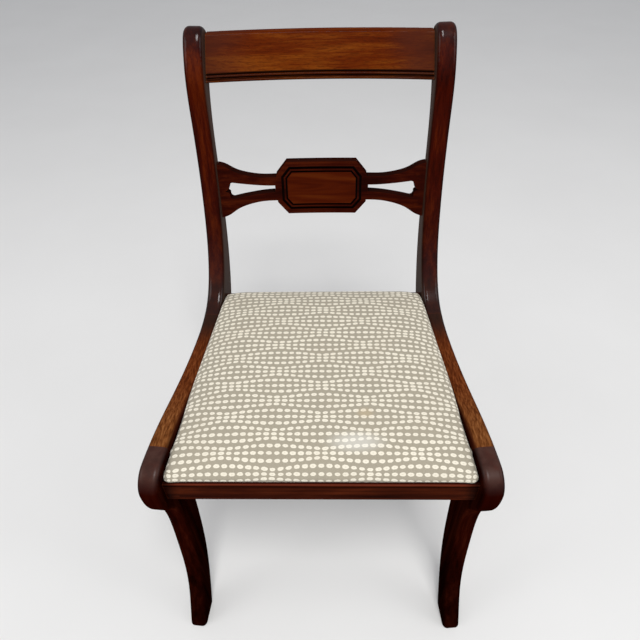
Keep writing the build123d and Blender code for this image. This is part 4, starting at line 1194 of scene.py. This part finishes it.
# %% Black cambric
dust_thread = 0.0011
dust_finish, tree, shader = new_finish("black_cambric")
flat = add_node(tree, "ShaderNodeUVMap", uv_map="cloth").outputs["UV"]
split = add_node(tree, "ShaderNodeSeparateXYZ")
feed(tree, split.inputs[0], flat)
dust_warp = sum_of(tree, "SINE", sum_of(tree, "MULTIPLY", split.outputs["X"], 2 * math.pi / dust_thread))
dust_weft = sum_of(tree, "SINE", sum_of(tree, "MULTIPLY", split.outputs["Y"], 2 * math.pi / dust_thread))
dust_weave = sum_of(tree, "MULTIPLY", dust_warp, dust_weft)
lint = cloudy(tree, stretched(tree, flat, (60, 60, 1)), detail=4, roughness=0.7)
dust_colour = shades(tree, lint, (0.35, (0.012, 0.012, 0.013)), (0.7, (0.035, 0.034, 0.033)))
feed(tree, shader.inputs["Base Color"], dust_colour)
feed(tree, shader.inputs["Normal"], raised(tree, dust_weave, 0.0002, 0.4))
shader.inputs["Roughness"].default_value = 0.9
dust_mesh.materials.append(dust_finish)
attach(dust_cloth, "seat")
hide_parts("seat_dust_cover")

# %% [markdown]
# Upholstery tacks hold the hem and the dust cloth. Each is a low dome with its pin in the wood. Their places
# could be worked out again from the seat's sizes. The frame already holds each row of tacks as one node, so
# the node is taken apart into its loose pieces, and the middle of each gives one place.


# %% Where the tacks sit
def tack_places(name):
    """Middle of each tack's head, found from the loose pieces of a CAD node."""
    shape = bmesh.new()
    shape.from_mesh(nodes[name].data)
    bmesh.ops.remove_doubles(shape, verts=shape.verts, dist=1e-6)
    waiting = set(shape.verts)
    places = []
    while waiting:
        group = [waiting.pop()]
        for vertex in group:
            for edge in vertex.link_edges:
                other = edge.other_vert(vertex)
                if other in waiting:
                    waiting.remove(other)
                    group.append(other)
        low = min(v.co.z for v in group)
        middle_x = (min(v.co.x for v in group) + max(v.co.x for v in group)) / 2
        middle_y = (min(v.co.y for v in group) + max(v.co.y for v in group)) / 2
        places.append((middle_x, middle_y, low))
    shape.free()
    return sorted(places)


print("tacks in the hem:", len(tack_places("cover_tacks")))

# %% [markdown]
# All heads have one shape, so a small Geometry Nodes tree sets one dome on every tack place. A loop could
# copy a mesh, but the tree keeps the sizes as named inputs. Each head leans a little at random, from a fixed
# seed, because nobody drives a tack quite straight.


# %% Domed heads
def tack_tree():
    """Domed tack heads on the points of a mesh."""
    group = bpy.data.node_groups.new("tack_heads", "GeometryNodeTree")
    group.interface.new_socket("Geometry", in_out="INPUT", socket_type="NodeSocketGeometry")
    group.interface.new_socket("Head radius", in_out="INPUT", socket_type="NodeSocketFloat")
    group.interface.new_socket("Head height", in_out="INPUT", socket_type="NodeSocketFloat")
    group.interface.new_socket("Tilt", in_out="INPUT", socket_type="NodeSocketFloat")
    group.interface.new_socket("Geometry", in_out="OUTPUT", socket_type="NodeSocketGeometry")
    given = group.nodes.new("NodeGroupInput")
    dome = group.nodes.new("GeometryNodeMeshUVSphere")
    dome.inputs["Segments"].default_value = 14
    dome.inputs["Rings"].default_value = 8
    dome.inputs["Radius"].default_value = 1
    size = group.nodes.new("ShaderNodeCombineXYZ")
    group.links.new(given.outputs["Head radius"], size.inputs[0])
    group.links.new(given.outputs["Head radius"], size.inputs[1])
    group.links.new(given.outputs["Head height"], size.inputs[2])
    shaped = group.nodes.new("GeometryNodeTransform")
    group.links.new(dome.outputs["Mesh"], shaped.inputs["Geometry"])
    group.links.new(size.outputs[0], shaped.inputs["Scale"])
    most = group.nodes.new("ShaderNodeCombineXYZ")
    least = group.nodes.new("ShaderNodeVectorMath")
    least.operation = "SCALE"
    least.inputs["Scale"].default_value = -1
    group.links.new(given.outputs["Tilt"], most.inputs[0])
    group.links.new(given.outputs["Tilt"], most.inputs[1])
    group.links.new(most.outputs[0], least.inputs[0])
    lean = group.nodes.new("FunctionNodeRandomValue")
    lean.data_type = "FLOAT_VECTOR"
    lean.inputs["Seed"].default_value = 7
    group.links.new(least.outputs[0], lean.inputs[0])
    group.links.new(most.outputs[0], lean.inputs[1])
    placed = group.nodes.new("GeometryNodeInstanceOnPoints")
    group.links.new(given.outputs["Geometry"], placed.inputs["Points"])
    group.links.new(shaped.outputs["Geometry"], placed.inputs["Instance"])
    group.links.new(lean.outputs[0], placed.inputs["Rotation"])
    real = group.nodes.new("GeometryNodeRealizeInstances")
    group.links.new(placed.outputs["Instances"], real.inputs[0])
    rounded = group.nodes.new("GeometryNodeSetShadeSmooth")
    group.links.new(real.outputs[0], rounded.inputs["Geometry"])
    finished = group.nodes.new("GeometryNodeSetMaterial")
    finished.inputs["Material"].default_value = steel
    group.links.new(rounded.outputs["Geometry"], finished.inputs["Geometry"])
    result = group.nodes.new("NodeGroupOutput")
    group.links.new(finished.outputs["Geometry"], result.inputs[0])
    return group


heads_tree = tack_tree()
print("tack heads:", len(heads_tree.nodes), "nodes")

# %% [markdown]
# The tree runs on the places of each row. Its result is turned into a plain mesh and the modifier is taken
# off, because what a tree makes on the fly wouldn't leave Blender with the chair. The heads stand in for the
# frame's own tacks and ride on the seat.

# %% Set the tacks
tack_head_radius = 0.0035
tack_head_height = 0.0011
tack_tilt = 0.06


def set_tacks(name, node_name, tree):
    """A row of tacks in place of a CAD node."""
    points = bpy.data.meshes.new(name)
    places = [(x, y, z + tack_head_height) for x, y, z in tack_places(node_name)]
    points.from_pydata(places, [], [])
    tacks = bpy.data.objects.new(name, points)
    scene.collection.objects.link(tacks)
    heads = tacks.modifiers.new("heads", "NODES")
    heads.node_group = tree
    wanted = {"Head radius": tack_head_radius, "Head height": tack_head_height, "Tilt": tack_tilt}
    for item in tree.interface.items_tree:
        if item.in_out == "INPUT" and item.name in wanted:
            heads[item.identifier] = wanted[item.name]
    grown = tacks.evaluated_get(bpy.context.evaluated_depsgraph_get())
    mesh = bpy.data.meshes.new_from_object(grown)
    tacks.modifiers.remove(heads)
    tacks.data = mesh
    mesh.name = name
    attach(tacks, "seat")
    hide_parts(node_name)
    print(name, "has", len(places), "tacks and", len(mesh.polygons), "faces")


set_tacks("hem_tack_heads", "cover_tacks", heads_tree)
set_tacks("dust_cloth_tack_heads", "dust_cover_tacks", heads_tree)
